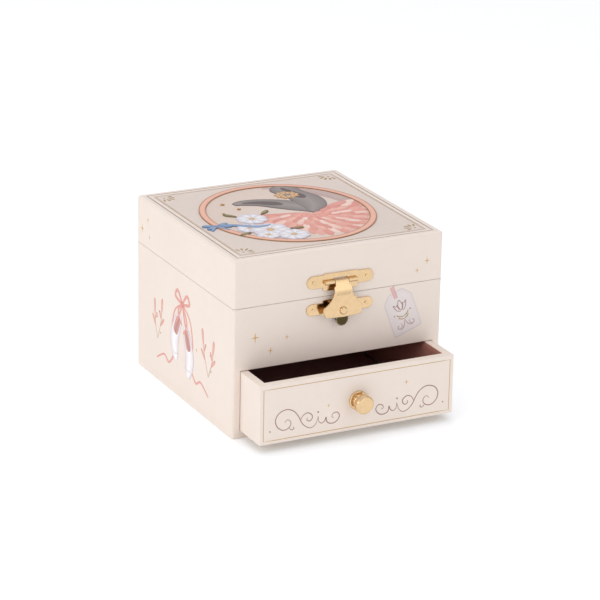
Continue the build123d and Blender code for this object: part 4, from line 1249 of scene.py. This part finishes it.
@dataclass
class Drawer:
    """The drawer with its flocked well and scrollwork front."""

    front: float = -79.4
    well_half: float = 49.2
    well_front: float = -75.4
    well_back: float = 26.1
    floor: float = 6.8
    top: float = 34.6
    ink: Colour = tint("A88782")

    def fittings(self) -> None:
        """Dress the drawer's boards, paper and knob."""
        dress(("drawer_front", "drawer_back", "drawer_left_side", "drawer_right_side", "drawer_bottom"), Palette.BOARD)
        dress(("drawer_paper",), Palette.CREAM)
        dress(("knob",), Palette.BRASS)
        dress(("knob_screw",), Palette.STEEL)

    def lining(self) -> None:
        """Flock the well's floor and four walls."""
        w, near, far, low = self.well_half, self.well_front, self.well_back, self.floor
        felt = Felt("drawer_flock", "drawer", "dark_felt", Palette.DARK_FELT, 0.3, 2.6, 0.03)
        tall = self.top - low - 0.3
        felt.panel((-w, near, low), (2 * w, 0, 0), (0, far - near, 0))
        felt.panel((w, near, low + 0.3), (-2 * w, 0, 0), (0, 0, tall))
        felt.panel((-w, far, low + 0.3), (2 * w, 0, 0), (0, 0, tall))
        felt.panel((-w, near + 0.3, low + 0.3), (0, far - near - 0.6, 0), (0, 0, tall))
        felt.panel((w, far - 0.3, low + 0.3), (0, near - far + 0.6, 0), (0, 0, tall))
        felt.made((0.16, 0.16), ("drawer_bottom", "drawer_front"), "drawer_lining")

    def printed(self) -> None:
        """Print the gold frame line and the two groups of scrolls."""
        art = Print("drawer_front_print", lambda u, v, h: (u, self.front - h, v))
        low, high, wide = 6.0, 32.6, 51.3
        bow = [(-wide + 2 * wide * i / 16) for i in range(16)]
        loop = [(u, low) for u in bow] + [(wide, low), (wide, high)] + [(-u, high) for u in bow[1:]] + [(-wide, high)]
        art.stroke(loop, 0.36, tint("C9A46E"), 1.0, True)
        for side in (-1, 1):
            self.scrolls(art, side)
        for centre, size in (((-16.1, 19.3), 1.2), ((26.8, 24.7), 1.5)):
            art.star(centre, size, tint("D9AC62"))
        art.finished(Palette.INK, "drawer")

    def scrolls(self, art: Print, side: int) -> None:
        """Print one group of scrolls, mirrored by side."""
        def draw(line: Sequence[Point], width: float) -> None:
            """Print one stroke on this side."""
            art.stroke([(side * u, v) for u, v in line], width, self.ink)

        draw(curve_through([(39.9, 14.1), (38.7, 15.5), (37.0, 14.7), (36.6, 12.7), (38.2, 10.9),
                            (41.0, 10.5), (43.9, 12.6), (44.9, 16.2), (42.9, 19.6), (38.7, 20.9), (34.9, 19.3), (32.4, 16.2), (30.6, 12.6),
                            (28.1, 10.1), (25.4, 9.3), (23.0, 10.9), (21.7, 14.6)]), 0.55)
        draw(curve_through([(37.6, 11.3), (36.2, 9.9), (34.9, 10.4), (35.3, 11.5)]), 0.45)
        draw(curve_through([(31.4, 13.6), (30.3, 16.0), (27.9, 17.4), (25.4, 16.2), (25.0, 14.2),
                            (26.4, 12.9), (27.9, 13.8), (27.5, 14.9)]), 0.55)
        draw(curve_through([(21.7, 14.6), (21.4, 11.9), (19.8, 10.7), (18.2, 11.6), (17.4, 13.4),
                            (17.1, 11.3), (15.6, 10.0), (13.0, 9.8), (10.8, 11.3), (10.1, 13.4), (11.5, 15.1), (13.6, 14.7), (14.2, 13.1),
                            (13.0, 12.5)]), 0.55)
        for centre, radius in (((21.8, 16.8), 0.5), ((47.8, 10.8), 0.42)):
            art.dot((side * centre[0], centre[1]), radius, self.ink)

    def make(self) -> None:
        """Build every part of the drawer."""
        self.fittings()
        self.lining()
        self.printed()


@dataclass
class Movement:
    """The spring-driven works under the deck."""

    spring_foot: tuple[float, float, float] = (0.0, 1.0, 63.4)
    bend: float = 5.0
    lean: float = 70.0

    def dancer_spring(self) -> None:
        """Wind the close coil under the dancer, bent over as it is under a closed lid."""
        works = Works("coil_spring")
        turns, radius = works.size("Turns", 8.0), works.size("Coil radius", 1.3 * MM)
        wire = works.size("Wire radius", 0.28 * MM)
        length = works.size("Length", self.bend * math.radians(self.lean) * MM)
        coil = works.node("GeometryNodeCurveSpiral", {}, {
            "Resolution": 20, "Rotations": turns, "Start Radius": radius, "End Radius": radius, "Height": length})
        spot = works.node("GeometryNodeInputPosition", {}, {})
        x, y, z = (works.node("ShaderNodeSeparateXYZ", {}, {0: spot}, axis) for axis in range(3))
        angle, arm = z / (self.bend * MM), y + self.bend * MM
        bent = works.node("ShaderNodeCombineXYZ", {}, {
            0: x + self.spring_foot[0] * MM,
            1: arm * works.math("COSINE", angle) + (self.spring_foot[1] - self.bend) * MM,
            2: arm * works.math("SINE", angle) + self.spring_foot[2] * MM})
        path = works.node("GeometryNodeSetPosition", {}, {"Geometry": coil, "Position": bent})
        ring = works.node("GeometryNodeCurvePrimitiveCircle", {}, {"Resolution": 10, "Radius": wire})
        swept = works.node("GeometryNodeCurveToMesh", {}, {"Curve": path, "Profile Curve": ring, "Fill Caps": True})
        spring = works.finished(swept, Palette.BLUED, "dancer_spring", None, "spring_steel")
        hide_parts("ballerina_spring")
        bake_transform(spring)

    def make(self) -> None:
        """Dress the plates, wheels, comb, springs and key."""
        dress(("bedplate", "front_bracket", "governor_bracket", "barrel_bracket", "comb_block", "barrel_drum",
               "barrel_cap", "pin_cylinder", "governor_gear"), Palette.WORKS_BRASS)
        dress(("comb", "movement_screws", "winding_arbor", "winding_key", "stop_wire"), Palette.STEEL)
        dress(("mainspring",), Palette.BLUED)
        dress(("fly_worm", "spindle"), Palette.WORKS_PLASTIC)
        self.dancer_spring()


@dataclass
class Dancer:
    """The little figure in her net skirt, folded forward on the spring."""

    origin: tuple[float, float, float] = (0.0, 1.0, 66.901)
    lean: float = 70.0
    skirt_reach: float = 8.9
    skirt_height: float = 17.5
    net_length: float = 0.037

    def stand(self, x: float, y: float, z: float) -> Vector:
        """Place a point given in the figure's own upright frame."""
        c, s = math.cos(math.radians(self.lean)), math.sin(math.radians(self.lean))
        return Vector(self.origin) + Vector((x, y * c - z * s, y * s + z * c))

    def form(self, rings: Sequence[Sequence[Vector]]) -> tuple[list, list]:
        """Skin a stack of rings into a closed form, with a point at each end.

        Args:
            rings: Rings of points in the figure's frame, from one end to the other.

        Returns:
            Placed vertices and faces.
        """
        span = len(rings[0])
        points = [self.stand(*p) for ring in rings for p in ring]
        faces = []
        for j in range(len(rings) - 1):
            for i in range(span):
                k = (i + 1) % span
                faces.append((j * span + i, j * span + k, (j + 1) * span + k, (j + 1) * span + i))
        for base, order in ((0, -1), ((len(rings) - 1) * span, 1)):
            hub = sum((Vector(points[base + i]) for i in range(span)), Vector()) / span
            points.append(hub)
            for i in range(span):
                pair = (base + i, base + (i + 1) % span)
                faces.append((*(pair if order > 0 else pair[::-1]), len(points) - 1))
        return points, faces

    def body(self, sections: Sequence[Sequence[float]], around: int = 28) -> tuple[list, list]:
        """Form a trunk from sections of height, half width, half depth and set-back."""
        smooth = curve_through(sections, 5)
        turns = [2 * math.pi * i / around for i in range(around)]
        return self.form([[Vector((rx * math.cos(a), back + ry * math.sin(a), z)) for a in turns]
                          for z, rx, ry, back in smooth])

    def limb(self, path: Sequence[Sequence[float]], around: int = 16) -> tuple[list, list]:
        """Form a limb along points of x, y, z and radius."""
        smooth = curve_through(path, 6)
        rings = []
        side = Vector((0, 1, 0))
        for here, (x, y, z, radius) in enumerate(smooth):
            after = smooth[min(here + 1, len(smooth) - 1)]
            before = smooth[max(here - 1, 0)]
            run = (Vector(after[:3]) - Vector(before[:3])).normalized()
            across = run.cross(side).normalized()
            deep = across.cross(run).normalized() * -1
            turns = [2 * math.pi * i / around for i in range(around)]
            rings.append([Vector((x, y, z)) + (across * math.cos(a) - deep * math.sin(a)) * -radius for a in turns])
        return self.form(rings)

    def head(self) -> tuple[list, list]:
        """Form the head: an egg with a small nose, soft cheeks and chin."""
        rings = []
        for level in range(1, 26):
            polar = math.pi * (1 - level / 26)
            ring = []
            for turn in range(32):
                a = 2 * math.pi * turn / 32
                way = Vector((math.sin(polar) * math.cos(a), math.sin(polar) * math.sin(a), math.cos(polar)))
                jaw = 1 - 0.16 * max(0.0, -way.z)
                spot = Vector((2.2 * way.x * jaw, 2.45 * way.y, 2.8 * way.z))
                front = max(0.0, -way.y)
                nose = math.exp(-(way.x / 0.12) ** 2 - ((way.z + 0.12) / 0.14) ** 2)
                eye = math.exp(-((abs(way.x) - 0.36) / 0.17) ** 2 - ((way.z - 0.05) / 0.12) ** 2)
                chin = math.exp(-(way.x / 0.2) ** 2 - ((way.z + 0.72) / 0.16) ** 2)
                spot.y -= front * (0.42 * nose - 0.16 * eye + 0.18 * chin)
                ring.append(spot + Vector((0, 0, 31.2)))
            rings.append(ring)
        return self.form(rings)

    def piece(self, name: str, forms: Sequence[tuple[list, list]], finish: Palette) -> bpy.types.Object:
        """Join several forms into one piece of the figure."""
        points, faces = [], []
        for some, skin in forms:
            start = len(points)
            points.extend(some)
            faces.extend(tuple(start + corner for corner in face) for face in skin)
        made = build(name, points, faces, finish, "dancer")
        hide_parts("ballerina_figure")
        return made

    def face(self) -> tuple[list, list]:
        """Form the closed eyelids' lashes and the brows as fine raised strokes."""
        points, faces = [], []
        for side in (-1, 1):
            for height, depth, bow, reach in ((31.25, -2.28, -0.16, 0.55), (31.95, -2.2, 0.14, 0.6)):
                path = [(side * (0.8 + reach * t), depth + 0.28 * abs(t + 0.55) ** 1.5, height + bow * (1 - t * t), 0.05)
                        for t in (-1, -0.5, 0, 0.5, 1)]
                some, skin = self.limb(path, 6)
                faces.extend(tuple(len(points) + corner for corner in face) for face in skin)
                points.extend(some)
        return points, faces

    def figure(self) -> None:
        """Form the figure's body, hair, costume and features."""
        arms, legs, shoes = [], [], []
        for side in (-1, 1):
            arms.append(self.limb([(side * x, y, z, r) for x, y, z, r in (
                (1.7, 0.1, 25.5, 0.75), (2.7, 0, 26.6, 0.66), (4.6, -0.2, 28.6, 0.56), (5.7, -0.5, 33.0, 0.48),
                (4.4, -0.7, 36.9, 0.4), (2.2, -0.7, 39.2, 0.34), (1.1, -0.6, 40.0, 0.36), (0.55, -0.5, 40.3, 0.2))]))
            legs.append(self.limb([(side * x, y, z, r) for x, y, z, r in (
                (0.62, 0, 4.9, 0.5), (0.68, 0.1, 6.6, 0.62), (0.8, 0.3, 9.0, 1.0), (0.85, 0, 11.2, 0.9),
                (1.0, -0.1, 14.0, 1.25), (1.05, 0, 17.4, 1.35))]))
            shoes.append(self.limb([(side * x, y, z, r) for x, y, z, r in (
                (0.5, -0.1, 3.9, 0.36), (0.52, -0.12, 4.3, 0.52), (0.58, -0.1, 5.0, 0.66), (0.62, 0, 5.8, 0.6))]))
        neck = self.body([(24.7, 2.2, 1.4, 0), (25.5, 2.25, 1.2, 0), (26.2, 1.4, 0.95, 0.05), (27.0, 0.82, 0.8, 0.15),
                          (28.8, 0.78, 0.78, 0.2), (29.6, 0.8, 0.8, 0.1)])
        self.piece("dancer_skin", [neck, self.head(), *arms], Palette.SKIN)
        bodice = self.body([(16.9, 2.3, 2.0, 0), (17.6, 2.45, 2.1, 0), (19.2, 1.95, 1.6, 0), (20.4, 1.65, 1.35, 0),
                            (22.4, 2.0, 1.6, -0.05), (24.0, 2.45, 1.95, -0.12), (25.0, 2.42, 1.6, -0.05), (25.3, 2.3, 1.4, 0)])
        socket = self.body([(3.52, 1.55, 1.55, 0), (3.7, 1.75, 1.75, 0), (4.1, 1.7, 1.7, 0), (4.4, 1.35, 1.2, 0)])
        self.piece("dancer_satin", [bodice, socket, *shoes], Palette.SATIN)
        self.piece("dancer_tights", legs, Palette.TIGHTS)
        cap = self.body([(29.3, 0.6, 0.5, 1.1), (30.2, 2.1, 1.5, 1.0), (31.6, 2.42, 2.0, 0.62), (32.8, 2.3, 2.25, 0.3),
                         (33.8, 1.5, 1.7, 0.2), (34.2, 0.5, 0.5, 0.25)])
        bun = self.body([(33.4, 0.7, 0.7, 0.5), (33.9, 1.35, 1.35, 0.5), (34.5, 1.5, 1.5, 0.5), (35.3, 1.1, 1.1, 0.5),
                         (35.8, 0.3, 0.3, 0.5)])
        self.piece("dancer_hair", [cap, bun], Palette.HAIR)
        self.piece("dancer_lashes", [self.face()], Palette.FEATURES)
        lips = self.limb([(-0.42, -2.12, 29.98, 0.06), (0, -2.3, 29.9, 0.15), (0.42, -2.12, 29.98, 0.06)], 8)
        self.piece("dancer_lips", [lips], Palette.LIPS)
        band = self.limb([(1.62 * math.cos(a), 0.5 + 1.62 * math.sin(a), 34.0, 0.18)
                          for a in [2 * math.pi * i / 24 for i in range(24)]], 8)
        self.piece("dancer_band", [band], Palette.GILT)

    def skirt(self) -> None:
        """Gather four layers of stiff net round the hips."""
        layers = ((0.55, 1.0, 17, 0.0), (0.15, 0.97, 19, 1.3), (-0.25, 0.92, 16, 2.1), (-0.6, 0.85, 21, 0.7))
        rings, thick, waist, points, faces, depth = 10, 0.035, 1.75, [], [], 0.0
        for rise, share, folds, phase in layers:
            around, first = folds * 12, len(points)
            reach = self.skirt_reach * share
            depth += reach - waist
            for side in (1, -1):
                for ring in range(rings + 1):
                    t = ring / rings
                    radius = waist + (reach - waist) * t
                    for turn in range(around):
                        a = 2 * math.pi * turn / around
                        fold = 0.42 * t ** 0.8 * math.sin(folds * a + phase)
                        wander = 0.12 * t * math.sin(3 * a + phase)
                        height = self.skirt_height + rise * (0.35 + 0.65 * t) + fold + wander
                        points.append(self.stand(radius * math.cos(a), radius * math.sin(a), height + side * thick / 2))
            layer, outer = (rings + 1) * around, rings * around
            for turn in range(around):
                k = (turn + 1) % around
                for base in range(first, first + outer, around):
                    a, b, c, d = base + turn, base + k, base + k + around, base + turn + around
                    faces.append((a, d, c, b))
                    faces.append((layer + a, layer + b, layer + c, layer + d))
                a, b = first + turn, first + k
                faces.append((a, b, layer + b, layer + a))
                faces.append((b + outer, a + outer, layer + a + outer, layer + b + outer))
        net = build("skirt_net", points, faces, Palette.TULLE, "dancer")
        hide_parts("tutu")

    def make(self) -> None:
        """Build the figure and her skirt."""
        self.figure()
        self.skirt()


def main() -> None:
    """Build the studio and each sub-assembly in order."""
    logging.basicConfig(level=logging.INFO, format="%(message)s")
    Studio().set_up()
    for part in (Cabinet(), Lid(), Drawer(), Movement(), Dancer()):
        part.make()
        log.info("%s done", type(part).__name__)


if __name__ == "__main__":
    main()
